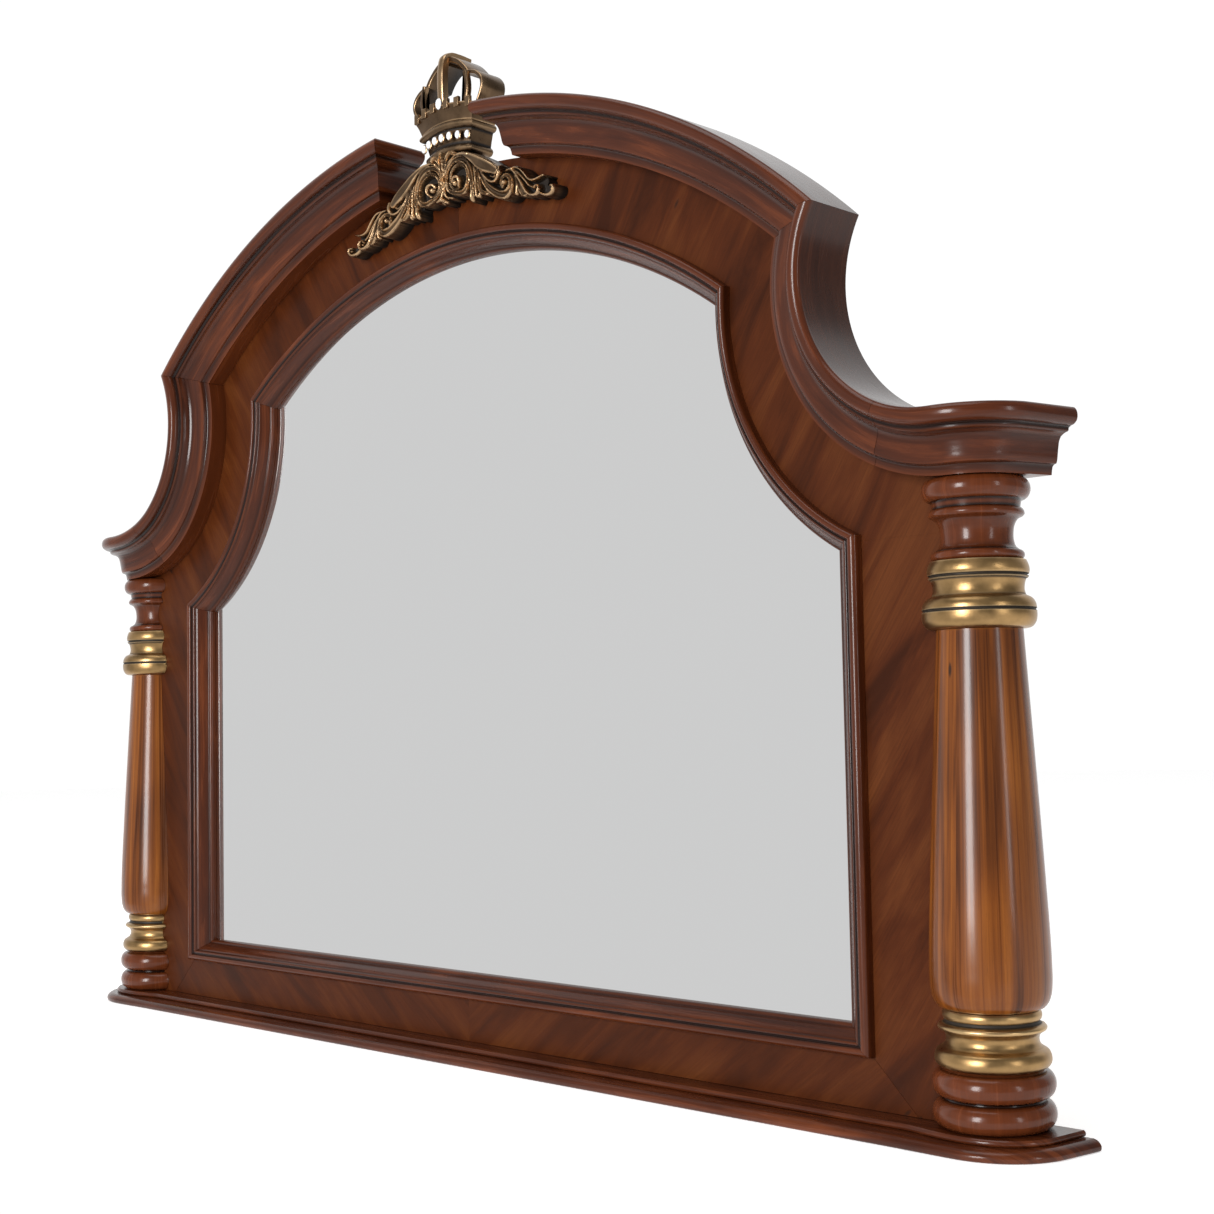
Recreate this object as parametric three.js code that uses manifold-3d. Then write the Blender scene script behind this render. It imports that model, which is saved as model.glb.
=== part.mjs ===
// Landscape dresser mirror: an arched mahogany frame with a broken-arch pediment, two turned columns
// with brass collars, a moulded plinth and a bronze crown-and-scroll crest.
// Millimetres. x runs across, y runs from the front (negative) to the back, z is up from the floor.
import * as THREE from "three";
import { mergeVertices } from "three/addons/utils/BufferGeometryUtils.js";
import Module from "manifold-3d";

const wasm = await Module();
wasm.setup();

// Driving dimensions. The panel's front face is y = 0.
const GAP = 0.3;
const PANEL_BACK = 18.7;
const PLINTH_BACK = 48;
const PLINTH_TOP = 15;
const STEP_BOTTOM = 10;
const ARCH = { x: 0, z: 247.3, radius: 748.2 };
const SHOULDER = { x: 627, z: 728, radius: 130 };
const HOLLOW = { x: 621.9, z: 727 };
const COLUMN = { x: 624.7, y: 17 };
const PANEL_EDGE_X = 612;
const REAR_STILE = { inner: 524, outer: 574, top: 590 };

// The capital continues the shoulder from one angle to another, stands a little forward of it, then
// turns round the column and runs straight to its back corner, drawn in a little below the nose.
const CAPITAL_TOP = SHOULDER.z - SHOULDER.radius;
const CAPITAL_START = THREE.MathUtils.degToRad(246);
const CAPITAL_END = THREE.MathUtils.degToRad(267);
const CAPITAL_FORWARD = 3.5;
const CAPITAL_EASE = { from: 545, to: 620 };
const CAPITAL_TURN = THREE.MathUtils.degToRad(68);
const CAPITAL_CORNER_X = 704;
const CAPITAL_DRAW_IN = 0.8;

// The arch moulding is broken at BREAK_X either side of the centre, within this range of heights.
const BREAK_X = 130;
const BREAK_LOW = 800;
const BREAK_HIGH = 1100;
const BREAK_REACH = 90;

// The plinth's front swells out towards each column between these two distances from the centre.
const SWELL = { from: 560, to: 616, turn: 1.4 };
const SIGHT = { side: 520, bottom: 59.6, concave: 244, arch: 632.8, archZ: 241.6 };
const GLASS = { side: 489.6, bottom: 84.6, concave: 267.8, arch: 607.8, front: 13.7, back: 18.4 };
const SIGHT_WIDTH = 29;
const PANEL_LAP = 14;
const GLASS_LAP = 14.4;
const BOARD_LAP = 2;
const BOARD_THICK = 6;
const ROD_RADIUS = 5;
const SCROLL_FRONT = -24;
const CROWN_BOTTOM = 955;
const CROWN_HALF_WIDTH = 44.3;
const CROWN_BACK = 18;
const CROWN_BULGE = 6;
const CROWN_LIFT = 4.5;
const CROWN_FLOOR = 1007;
const SHELL_FOOT = 1012.3;
const TEETH_FIRST = 10.9;
const TEETH_PITCH = 15.4;
const GEM_PITCH = 11.8;
const GEM_FRONT = -17.6;
const SEGMENTS = 20;

// Moulding section of the cornice: millimetres forward of the panel, and inward from the outer surface.
const CORNICE_FRONT = [
  [46, 0], [51, 1.6], [53, 6.5], [52, 11.3], [48, 14.6], [42, 16.2], [40, 19.4], [33, 22.4],
  [30.5, 27], [29, 36.7], [27.6, 44.3], [22, 49.1], [21.2, 54], [GAP, 54],
];
const RABBET = 50.3;
const PANEL_OUTER = RABBET + 2 * GAP;
const CORNICE_BACK = [[GAP, RABBET], [-PANEL_BACK, RABBET], [-PANEL_BACK, 0]];
const CORNICE = [...CORNICE_FRONT, ...CORNICE_BACK];
const NOSE_FORWARD = Math.max(...CORNICE_FRONT.map(([forward]) => forward));
const CORNICE_DEPTH = Math.max(...CORNICE_FRONT.map(([, inward]) => inward));

// Section of the sight moulding: millimetres inward from its outer edge, and forward of the panel.
const SIGHT_SECTION = [
  [0, GAP], [0, 6], [1.5, 9.2], [4.5, 10.5], [8.5, 9.8], [10.5, 7.6], [14.5, 6], [17, 3.2],
  [20.5, -0.5], [24, -4.8], [27, -8.5], [SIGHT_WIDTH, -10.5], [SIGHT_WIDTH, -13.4], [PANEL_LAP, -13.4],
  [PANEL_LAP, GAP],
];

const MAHOGANY = { color: 0x5c3222, roughness: 0.32, metalness: 0 };
const VENEER = { color: 0x57301c, roughness: 0.35, metalness: 0 };
const SHAFT_WOOD = { color: 0x7d421f, roughness: 0.25, metalness: 0 };
const CARCASS_WOOD = { color: 0x8a6a48, roughness: 0.8, metalness: 0 };
const BRASS = { color: 0x96784a, roughness: 0.38, metalness: 1 };
const BRONZE = { color: 0x7a5c40, roughness: 0.42, metalness: 1 };
const STEEL = { color: 0x8c8f92, roughness: 0.4, metalness: 1 };
const SILVERED = { color: 0xdcdfe0, roughness: 0.03, metalness: 1 };
const CRYSTAL = { color: 0xf2f2f4, roughness: 0.08, metalness: 0 };

const mirror = new THREE.Group();

function add(name, geometry, look) {
  const mesh = new THREE.Mesh(geometry, new THREE.MeshStandardMaterial(look));
  mesh.name = name;
  mirror.add(mesh);
}

// Adds a piece and its mirror image across the centre line.
function addPair(name, geometry, look) {
  add(name + "_right", geometry, look);
  add(name + "_left", geometryOf(solidOf(geometry).mirror([1, 0, 0])), look);
}

function solidOf(geometry) {
  const bare = geometry.clone();
  bare.deleteAttribute("normal");
  bare.deleteAttribute("uv");
  const merged = mergeVertices(bare, 1e-4);
  const mesh = new wasm.Mesh({
    numProp: 3,
    vertProperties: new Float32Array(merged.attributes.position.array),
    triVerts: new Uint32Array(merged.index.array),
  });
  return new wasm.Manifold(mesh);
}

function geometryOf(solid) {
  const mesh = solid.getMesh();
  const geometry = new THREE.BufferGeometry();
  geometry.setAttribute("position", new THREE.BufferAttribute(mesh.vertProperties, 3));
  geometry.setIndex(new THREE.BufferAttribute(mesh.triVerts, 1));
  geometry.computeVertexNormals();
  return geometry;
}

function subtract(geometry, ...cutters) {
  return geometryOf(cutters.reduce((solid, cutter) => solid.subtract(solidOf(cutter)), solidOf(geometry)));
}

function intersect(geometry, cutter) {
  return geometryOf(solidOf(geometry).intersect(solidOf(cutter)));
}

function unite(...geometries) {
  return geometryOf(wasm.Manifold.union(geometries.map(solidOf)));
}

function box(x0, x1, y0, y1, z0, z1) {
  return new THREE.BoxGeometry(x1 - x0, y1 - y0, z1 - z0)
    .translate((x0 + x1) / 2, (y0 + y1) / 2, (z0 + z1) / 2);
}

// A closed skin through rings of equal point count. Its two end caps are cut up as the outline is.
function loft(rings, outline) {
  const triangles = [];
  for (let i = 0; i + 1 < rings.length; i++) {
    rings[i].forEach((near, j) => {
      const next = (j + 1) % rings[i].length;
      const far = rings[i + 1];
      triangles.push([near, far[j], far[next]], [near, far[next], rings[i][next]]);
    });
  }
  const flat = outline.map(([a, b]) => new THREE.Vector2(a, b));
  const anticlockwise = !THREE.ShapeUtils.isClockWise(flat);
  for (const [a, b, c] of THREE.ShapeUtils.triangulateShape(flat, [])) {
    const turned = !THREE.ShapeUtils.isClockWise([flat[a], flat[b], flat[c]]) === anticlockwise;
    const [p, q] = turned ? [b, c] : [c, b];
    const [first, last] = [rings[0], rings[rings.length - 1]];
    triangles.push([first[a], first[p], first[q]], [last[a], last[q], last[p]]);
  }
  const volume = triangles.reduce((sum, [a, b, c]) => sum + a.dot(b.clone().cross(c)), 0);
  const positions = triangles.flatMap(([a, b, c]) => (volume > 0 ? [a, b, c] : [a, c, b]))
    .flatMap((point) => point.toArray());
  const geometry = new THREE.BufferGeometry();
  geometry.setAttribute("position", new THREE.Float32BufferAttribute(positions, 3));
  geometry.computeVertexNormals();
  return geometry;
}

// An upright plate: an outline in x and z, between two depths.
function plate(outline, y0, y1) {
  return loft([y0, y1].map((y) => outline.map(([x, z]) => new THREE.Vector3(x, y, z))), outline);
}

// A level slab: an outline in x and y, between two heights.
function slab(outline, z0, z1) {
  return loft([z0, z1].map((z) => outline.map(([x, y]) => new THREE.Vector3(x, y, z))), outline);
}

function lathe(profile, x, y) {
  const points = profile.map(([radius, z]) => new THREE.Vector2(radius, z));
  return new THREE.LatheGeometry(points, SEGMENTS).rotateX(Math.PI / 2).translate(x, y, 0);
}

const steps = (count, make) => Array.from({ length: count + 1 }, (_, i) => make(i / count));
const mix = THREE.MathUtils.lerp;
const ease = (value, from, to) => THREE.MathUtils.smoothstep(value, from, to);

function onCircle(centre, radius, angle) {
  return [centre.x + radius * Math.cos(angle), centre.z + radius * Math.sin(angle)];
}

function angleTo(centre, [x, z]) {
  return THREE.MathUtils.euclideanModulo(Math.atan2(z - centre.z, x - centre.x), 2 * Math.PI);
}

// The upper of the two points where an arch's circle meets the circle of a shoulder.
function archMeets(archZ, archRadius, centre, radius) {
  const rise = centre.z - archZ;
  const apart = Math.hypot(centre.x, rise);
  const along = (archRadius ** 2 - radius ** 2 + apart ** 2) / (2 * apart);
  const across = Math.sqrt(archRadius ** 2 - along ** 2);
  return [
    (centre.x * along - rise * across) / apart,
    archZ + (rise * along + centre.x * across) / apart,
  ];
}

function arcPoints(centre, radius, from, to, count) {
  return steps(count, (t) => onCircle(centre, radius, mix(from, to, t)));
}

// ---- Cornice ----

function cornicePeak(inward) {
  return archMeets(ARCH.z, ARCH.radius - inward, SHOULDER, SHOULDER.radius + inward);
}

// Half the arch moulding, from the centre line to the mitre at its outer peak.
function corniceArch() {
  const ring = (t) => CORNICE.map(([forward, inward]) => {
    const radius = ARCH.radius - inward;
    const end = angleTo(ARCH, cornicePeak(inward)) + GAP / 2 / radius;
    const [x, z] = onCircle(ARCH, radius, mix(Math.PI / 2, end, t));
    return new THREE.Vector3(x, -forward, z);
  });
  const behind = PANEL_BACK + 9;
  const returnZone = [
    [-9, behind], [BREAK_X, behind], [BREAK_X, 0], [BREAK_X - BREAK_REACH, -BREAK_REACH], [-9, -BREAK_REACH],
  ];
  return subtract(loft(steps(18, ring), CORNICE), slab(returnZone, BREAK_LOW, BREAK_HIGH));
}

// The short mitred length that turns the arch moulding back at the break in the pediment.
function corniceReturn() {
  const section = CORNICE.map(([forward, inward]) => {
    const x = BREAK_X - Math.max(forward, GAP);
    return [x, ARCH.z + Math.sqrt((ARCH.radius - inward) ** 2 - x ** 2)];
  });
  const frontOfRabbet = section.slice(0, CORNICE_FRONT.length);
  const mitreX = BREAK_X - GAP;
  const wedge = [
    [mitreX, PANEL_BACK], [mitreX, -GAP / 2], [mitreX - BREAK_REACH, -BREAK_REACH - GAP / 2],
    [0, -BREAK_REACH], [0, PANEL_BACK],
  ];
  const panelDisc = arcPoints(ARCH, ARCH.radius - RABBET, 0, Math.PI, 120);
  const whole = intersect(plate(frontOfRabbet, -BREAK_REACH, PANEL_BACK), slab(wedge, BREAK_LOW, BREAK_HIGH));
  return subtract(whole, plate(panelDisc, -GAP, PANEL_BACK + 9));
}

// Across the shoulder's foot the moulding eases forward to meet the column's cap.
function shoulderRing(angle) {
  const x = onCircle(SHOULDER, SHOULDER.radius, angle)[0];
  const ahead = CAPITAL_FORWARD * ease(x, CAPITAL_EASE.from, CAPITAL_EASE.to);
  return CORNICE.map(([forward, inward]) => {
    const [pointX, z] = onCircle(SHOULDER, SHOULDER.radius + inward, angle);
    return new THREE.Vector3(pointX, forward > GAP ? -forward - ahead : -forward, z);
  });
}

function corniceShoulder() {
  const last = shoulderRing(CAPITAL_START - GAP / SHOULDER.radius);
  const first = CORNICE.map(([forward, inward]) => {
    const angle = angleTo(SHOULDER, cornicePeak(inward)) + GAP / 2 / SHOULDER.radius;
    const [x, z] = onCircle(SHOULDER, SHOULDER.radius + inward, angle);
    return new THREE.Vector3(x, -forward, z);
  });
  const start = Math.max(...CORNICE.map(([, inward]) => angleTo(SHOULDER, cornicePeak(inward))));
  const between = steps(12, (t) => shoulderRing(mix(start + 0.03, CAPITAL_START - 0.03, t)));
  return loft([first, ...between, last], CORNICE);
}

// The column's cap: the shoulder moulding is carried round the column's front corner to the back.
function capital() {
  const swept = steps(4, (t) => shoulderRing(mix(CAPITAL_START, CAPITAL_END, t)));
  const bottom = CAPITAL_TOP - CORNICE_DEPTH;
  const cornerRing = (turn) => CORNICE.map(([forward, inward]) => {
    const inside = forward <= GAP;
    const radius = forward + CAPITAL_FORWARD + COLUMN.y;
    const y = turn > 0 ? PANEL_BACK : -forward;
    const x = COLUMN.x + (inside ? 0 : radius * Math.sin(turn));
    return new THREE.Vector3(x, inside ? y : COLUMN.y - radius * Math.cos(turn), CAPITAL_TOP - inward);
  });
  const back = PLINTH_BACK - GAP;
  const end = CORNICE.map(([forward, inward]) => {
    const corner = CAPITAL_CORNER_X - CAPITAL_DRAW_IN * (NOSE_FORWARD - forward);
    const x = forward > GAP ? corner : COLUMN.x + 2;
    return new THREE.Vector3(x, back, CAPITAL_TOP - inward);
  });
  const turned = steps(6, (t) => cornerRing(CAPITAL_TURN * t));
  const blockTop = CAPITAL_TOP - 1;
  const blockSide = REAR_STILE.outer + 3;
  const block = box(blockSide, COLUMN.x + 1.5, PANEL_BACK + GAP, back, bottom, blockTop);
  const jointBottom = CAPITAL_TOP - RABBET + 9;
  const joint = box(blockSide, COLUMN.x, PANEL_BACK - 0.5, PANEL_BACK + 1, jointBottom, blockTop);
  return unite(loft([...swept, ...turned, end], CORNICE), block, joint);
}

// ---- Sight moulding, glass and panel ----

// Where the opening's edge lies, a given distance inward from the sight moulding's outer edge.
function openingAt(inward) {
  const share = inward / SIGHT_WIDTH;
  const side = mix(SIGHT.side, GLASS.side, share);
  const bottom = mix(SIGHT.bottom, GLASS.bottom, share);
  const concave = mix(SIGHT.concave, GLASS.concave, share);
  const arch = mix(SIGHT.arch, GLASS.arch, share);
  const elbowZ = HOLLOW.z - Math.sqrt(concave ** 2 - (HOLLOW.x - side) ** 2);
  const peak = archMeets(SIGHT.archZ, arch, HOLLOW, concave);
  return { side, bottom, concave, arch, elbow: [side, elbowZ], peak };
}

const sightCentre = { x: 0, z: SIGHT.archZ };

function sightRing(locate) {
  return SIGHT_SECTION.map(([inward, forward]) => {
    const [x, z] = locate(openingAt(inward));
    return new THREE.Vector3(x, -forward, z);
  });
}

function sightBottom() {
  const end = (sign) => sightRing(({ side, bottom }) => [sign * (side - GAP / 2), bottom]);
  return loft([end(-1), end(1)], SIGHT_SECTION);
}

function sightSide() {
  const low = sightRing(({ side, bottom }) => [side, bottom + GAP / 2]);
  const high = sightRing(({ elbow }) => [elbow[0], elbow[1] - GAP / 2]);
  return loft([low, high], SIGHT_SECTION);
}

function sightConcave() {
  const ring = (t) => sightRing(({ concave, elbow, peak }) => {
    const from = angleTo(HOLLOW, elbow) - GAP / 2 / concave;
    const to = angleTo(HOLLOW, peak) + GAP / 2 / concave;
    return onCircle(HOLLOW, concave, mix(from, to, t));
  });
  return loft(steps(10, ring), SIGHT_SECTION);
}

function sightArch() {
  const ring = (t) => sightRing(({ arch, peak }) => {
    const start = angleTo(sightCentre, peak) + GAP / 2 / arch;
    return onCircle(sightCentre, arch, mix(start, Math.PI - start, t));
  });
  return loft(steps(20, ring), SIGHT_SECTION);
}

// The right half of the opening's outline above its lower elbow, from the elbow to the top centre.
function openingUpperHalf(inward) {
  const { concave, arch, elbow, peak } = openingAt(inward);
  return [
    ...arcPoints(HOLLOW, concave, angleTo(HOLLOW, elbow), angleTo(HOLLOW, peak), 10).slice(0, -1),
    ...arcPoints(sightCentre, arch, angleTo(sightCentre, peak), Math.PI / 2, 12),
  ];
}

// The outline of a plate that fills the opening to a given distance from the sight's outer edge.
function fillOutline(inward) {
  const { side, bottom } = openingAt(inward);
  const half = openingUpperHalf(inward);
  const other = half.slice(0, -1).reverse().map(([x, z]) => [-x, z]);
  return [[-side, bottom], [side, bottom], ...half, ...other];
}

const panelOpening = openingAt(PANEL_LAP - GAP);
const rightMitreX = panelOpening.side + panelOpening.bottom - PLINTH_TOP - GAP;

function panelBottomRail() {
  const [side, bottom] = [panelOpening.side, panelOpening.bottom];
  const foot = PLINTH_TOP + GAP;
  return plate([[-rightMitreX, foot], [rightMitreX, foot], [side, bottom], [-side, bottom]], 0, PANEL_BACK);
}

function panelStile() {
  const [side, bottom] = [panelOpening.side, panelOpening.bottom];
  const foot = PLINTH_TOP + GAP;
  const top = panelOpening.elbow[1];
  const outline = [
    [rightMitreX + GAP * 1.5, foot], [PANEL_EDGE_X, foot], [PANEL_EDGE_X, top], [side, top],
    [side, bottom + GAP * 1.5],
  ];
  return plate(outline, 0, PANEL_BACK);
}

function panelHead() {
  const inner = openingUpperHalf(PANEL_LAP - GAP);
  const radii = [ARCH.radius - PANEL_OUTER, SHOULDER.radius + PANEL_OUTER];
  const peak = archMeets(ARCH.z, radii[0], SHOULDER, radii[1]);
  const edgeZ = SHOULDER.z - Math.sqrt(radii[1] ** 2 - (SHOULDER.x - PANEL_EDGE_X) ** 2);
  const foot = panelOpening.elbow[1] + GAP;
  const outer = [
    ...arcPoints(ARCH, radii[0], Math.PI / 2, angleTo(ARCH, peak), 18).slice(0, -1),
    ...arcPoints(SHOULDER, radii[1], angleTo(SHOULDER, peak), angleTo(SHOULDER, [PANEL_EDGE_X, edgeZ]), 24),
  ];
  const shift = ([x, z]) => [Math.max(x, GAP / 2), Math.max(z, foot)];
  return plate([...inner.map(shift), ...outer.map(shift), [PANEL_EDGE_X, foot]], 0, PANEL_BACK);
}

// ---- Plinth ----

// Half the plinth's plan: a straight front that swells round the column's foot, then runs to the back.
function plinthPlan(frontY, frontRadius, sideRadius, backX, grow) {
  const swellY = COLUMN.y - frontRadius;
  const front = steps(5, (t) => {
    const x = mix(SWELL.from, SWELL.to, t);
    return [x, mix(frontY, swellY, ease(x, SWELL.from, SWELL.to)) - grow];
  });
  const corner = steps(9, (t) => {
    const angle = SWELL.turn * t;
    const radius = mix(frontRadius, sideRadius, Math.sin(angle) ** 2) + grow;
    return [COLUMN.x + radius * Math.sin(angle), COLUMN.y - radius * Math.cos(angle)];
  });
  const half = [...front, ...corner, [backX + grow, PLINTH_BACK]];
  return [...half.map(([x, y]) => [-x, y]).reverse(), ...half];
}

function stackPlans(levels, plan) {
  const rings = levels.map(([z, grow]) => plan(grow).map(([x, y]) => new THREE.Vector3(x, y, z)));
  return loft(rings, plan(0));
}

function plinthBase() {
  const levels = [[0, -1.5], [1.5, 0], [4.5, 0], [7.5, -2], [STEP_BOTTOM - GAP, -6]];
  return stackPlans(levels, (grow) => plinthPlan(-46.8, 64.8, 71, 702, grow));
}

function plinthStep() {
  const levels = [[STEP_BOTTOM, -0.6], [STEP_BOTTOM + 1, 0], [PLINTH_TOP - 1, 0], [PLINTH_TOP, -1]];
  return stackPlans(levels, (grow) => plinthPlan(-26, 51.3, 59.5, 688.5, grow));
}

// ---- Columns: radius and height of each turned profile, from the bottom up ----

// Half-round bulge between two heights.
function torus(z0, z1, radius, depth) {
  return steps(4, (t) => {
    const angle = mix(-Math.PI / 2, Math.PI / 2, t);
    return [radius - depth + depth * Math.cos(angle), mix(z0, z1, (1 + Math.sin(angle)) / 2)];
  });
}

const COLUMN_FOOT = [...torus(PLINTH_TOP + GAP, 38, 49.8, 9), ...torus(40, 61.5, 49.8, 8), [40, 63]];
const LOWER_COLLAR = [
  [41, 63.3], [46, 66], [47, 71], [45.5, 76.5], [39.5, 79.5], [37.4, 86], [39.5, 91],
  [43.8, 94.5], [43.5, 97], [39, 98.5], [38.5, 102], [39.8, 105], [38.6, 109.4],
];
const SHAFT = [
  [38.5, 109.7], [44.5, 113.5], [48, 121], [49.2, 131], [49, 150], [46.8, 210], [43.2, 280],
  [39.6, 345], [36.8, 395], [35.5, 418.5],
];
const UPPER_COLLAR = [
  [38.5, 418.8], [44, 421.5], [46.6, 427.5], [47, 434], [46.4, 438], [43.5, 443.5], [38.6, 446.5],
  [37.4, 453], [38.6, 461], [41.2, 463.5], [41.6, 467], [40, 475.2],
];
const NECK = [
  ...torus(475.5, 484, 38.5, 4), [33, 485.5], [30.6, 491], [30, 498], [31, 505], [34.5, 510.5],
  [38.6, 512.5], [39.2, 516], [37, 520.5], [36.5, 523.5], ...torus(525, 543.7, 44.8, 7.5),
];

// A turned piece round the tie rod, notched over the panel's edge and planed flat at the back.
function turning(profile) {
  const bore = ROD_RADIUS + GAP;
  const [bottom, top] = [profile[0][1], profile[profile.length - 1][1]];
  const closed = [[bore, bottom], ...profile, [bore, top], [bore, bottom]];
  const flat = PLINTH_BACK - GAP;
  const [nearX, farX] = [COLUMN.x - 100, COLUMN.x + 100];
  const notch = box(nearX, PANEL_EDGE_X + GAP, -GAP, PANEL_BACK + GAP, 0, CAPITAL_TOP);
  const planed = box(nearX, farX, flat, flat + 60, 0, CAPITAL_TOP);
  return subtract(lathe(closed, COLUMN.x, COLUMN.y), notch, planed);
}

function tieRod() {
  const foot = PLINTH_TOP + GAP;
  const length = CAPITAL_TOP - CORNICE_DEPTH - 0.5 - foot;
  return new THREE.CylinderGeometry(ROD_RADIUS, ROD_RADIUS, length, 12)
    .rotateX(Math.PI / 2).translate(COLUMN.x, COLUMN.y, foot + length / 2);
}

// ---- Crest ----

const SCROLL_OUTLINE = [
  [0.2, 905], [0.2, 954.7], [27, 951], [46, 941], [63, 930], [86, 923], [96, 915], [107, 916.5], [120, 913],
  [138, 900], [154, 896], [155, 887], [168, 887.5], [170.5, 881], [167, 875], [148, 877], [130, 882.5],
  [115, 888], [98, 886.5], [80, 893], [60, 896.5], [43, 896.5], [33, 904], [17, 906], [8, 903],
];

const CREST_LEAF_OUTLINE = [
  [0, 908], [4, 922], [9, 938], [11, 948], [5, 952], [0, 955], [-5, 952], [-11, 948], [-9, 938], [-4, 922],
];

// Half-round plan of the crown. Its rings also arch upward across the front.
function crownPlan(grow) {
  const [cornerX, cornerY] = [CROWN_HALF_WIDTH + grow, -18 - grow * 0.7];
  const front = steps(8, (t) => {
    const x = mix(-cornerX, cornerX, t);
    return [x, cornerY - CROWN_BULGE * (1 - (x / cornerX) ** 2)];
  });
  return [...front, [cornerX, CROWN_BACK], [-cornerX, CROWN_BACK]];
}

const crownLift = (x) => CROWN_LIFT * (1 - (x / CROWN_HALF_WIDTH) ** 2);

function crownStack(levels, plan) {
  const ring = ([z, grow]) => plan(grow).map(([x, y]) => new THREE.Vector3(x, y, z + crownLift(x)));
  return loft(levels.map(ring), plan(0));
}

function crownBand() {
  const levels = [
    [CROWN_BOTTOM, -11], [956.5, -8], [960, -7], [963.5, -8.5], [965, -10], [981, -6.5], [982.5, -3.5],
    [986, -1], [989, -2.5],
  ];
  return crownStack(levels, crownPlan);
}

// The flared rim, cut into square teeth along the front.
function crownRim() {
  const outer = crownStack([[989.3, -3], [1001, 3], [1012, 5]], crownPlan);
  const hollow = (grow) => crownPlan(grow).map(([x, y]) => [x, y > 0 ? 40 : y]);
  const inner = crownStack([[994, -5], [1030, 3]], hollow);
  const notch = (x, halfWidth) => box(x - halfWidth, x + halfWidth, -60, 0, CROWN_FLOOR, 1030);
  const betweenTeeth = [TEETH_FIRST, TEETH_FIRST + TEETH_PITCH].map((x) => x + TEETH_PITCH / 2);
  const notches = betweenTeeth.flatMap((x) => [notch(-x, 4), notch(x, 4)]);
  return subtract(outer, inner, ...notches, notch(0, 7));
}

// The open half dome: a shell over the arms, with a centre strap and two front bars.
function crownArms() {
  const outside = [
    [51, SHELL_FOOT], [57.5, 1024], [55.5, 1034], [48, 1041], [38, 1045.5], [33.5, 1046], [27, 1054],
    [16, 1061], [6, 1065.5],
  ];
  const inside = [
    [6, 1061], [14, 1057], [23, 1050], [30, 1042], [36, 1041.5], [45, 1037.5], [52, 1031.5],
    [53.5, 1024], [47, SHELL_FOOT],
  ];
  const flip = (points) => points.map(([x, z]) => [-x, z]).reverse();
  const shell = plate([...outside, ...flip(outside), ...flip(inside), ...inside], -14, CROWN_BACK + 1);
  const barOutline = [[28, 1000], [33, 1000], [37.5, 1020], [35, 1043], [30, 1043], [32.5, 1020]];
  const bars = [plate(barOutline, -17, -12), plate(flip(barOutline), -17, -12)];
  const strap = unite(box(-3, 3, -19, -12, 1000, 1066), box(-3, 3, -19, CROWN_BACK + 1, 1061, 1069));
  return unite(shell, ...bars, strap);
}

function gem(x, y, z, width, height) {
  return new THREE.SphereGeometry(1, 8, 5).rotateX(Math.PI / 2)
    .scale(width / 2, 1.8, height / 2).translate(x, y, z);
}

// ---- Assembly ----

function buildPlinth() {
  add("plinth_base", plinthBase(), MAHOGANY);
  add("plinth_step", plinthStep(), MAHOGANY);
}

function buildPanel() {
  add("panel_bottom_rail", panelBottomRail(), VENEER);
  addPair("panel_stile", panelStile(), VENEER);
  addPair("panel_head", panelHead(), VENEER);
}

function buildCornice() {
  addPair("cornice_arch", corniceArch(), MAHOGANY);
  addPair("cornice_return", corniceReturn(), MAHOGANY);
  addPair("cornice_shoulder", corniceShoulder(), MAHOGANY);
  addPair("capital", capital(), MAHOGANY);
}

function buildColumns() {
  addPair("column_foot", turning(COLUMN_FOOT), MAHOGANY);
  addPair("lower_collar", turning(LOWER_COLLAR), BRASS);
  addPair("column_shaft", turning(SHAFT), SHAFT_WOOD);
  addPair("upper_collar", turning(UPPER_COLLAR), BRASS);
  addPair("column_neck", turning(NECK), MAHOGANY);
  addPair("tie_rod", tieRod(), STEEL);
}

function buildSight() {
  add("sight_bottom", sightBottom(), MAHOGANY);
  addPair("sight_side", sightSide(), MAHOGANY);
  addPair("sight_concave", sightConcave(), MAHOGANY);
  add("sight_arch", sightArch(), MAHOGANY);
  add("mirror_glass", plate(fillOutline(GLASS_LAP), GLASS.front, GLASS.back), SILVERED);
}

function buildBack() {
  const front = PANEL_BACK + GAP;
  const back = PLINTH_BACK - GAP;
  const foot = PLINTH_TOP + GAP;
  add("backing_board", plate(fillOutline(BOARD_LAP), front, front + BOARD_THICK), CARCASS_WOOD);
  const { inner, outer, top } = REAR_STILE;
  addPair("rear_stile", box(inner, outer, front, back, foot, top), CARCASS_WOOD);
  add("rear_bottom_rail", box(GAP - inner, inner - GAP, front, back, foot, SIGHT.bottom), CARCASS_WOOD);
}

function buildCrest() {
  addPair("crest_scroll", plate(SCROLL_OUTLINE, SCROLL_FRONT, -GAP), BRONZE);
  add("crest_leaf", plate(CREST_LEAF_OUTLINE, SCROLL_FRONT - 5, SCROLL_FRONT - GAP), BRONZE);
  add("crest_block", box(-28, 28, 0, 16, ARCH.z + ARCH.radius - RABBET, CROWN_BOTTOM - GAP), CARCASS_WOOD);
  add("crown_band", crownBand(), BRONZE);
  add("crown_rim", crownRim(), BRONZE);
  add("crown_arms", crownArms(), BRONZE);
  add("crown_gem_front", gem(0, -27, 1014, 8.6, 13), CRYSTAL);
  for (let i = -3; i <= 3; i++) {
    const x = i * GEM_PITCH;
    const y = GEM_FRONT - CROWN_BULGE * (1 - (x / 37) ** 2);
    add("crown_gem_" + (i + 4), gem(x, y, 972.5 + crownLift(x), 6.8, 9), CRYSTAL);
  }
}

buildPlinth();
buildPanel();
buildCornice();
buildColumns();
buildSight();
buildBack();
buildCrest();

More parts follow.
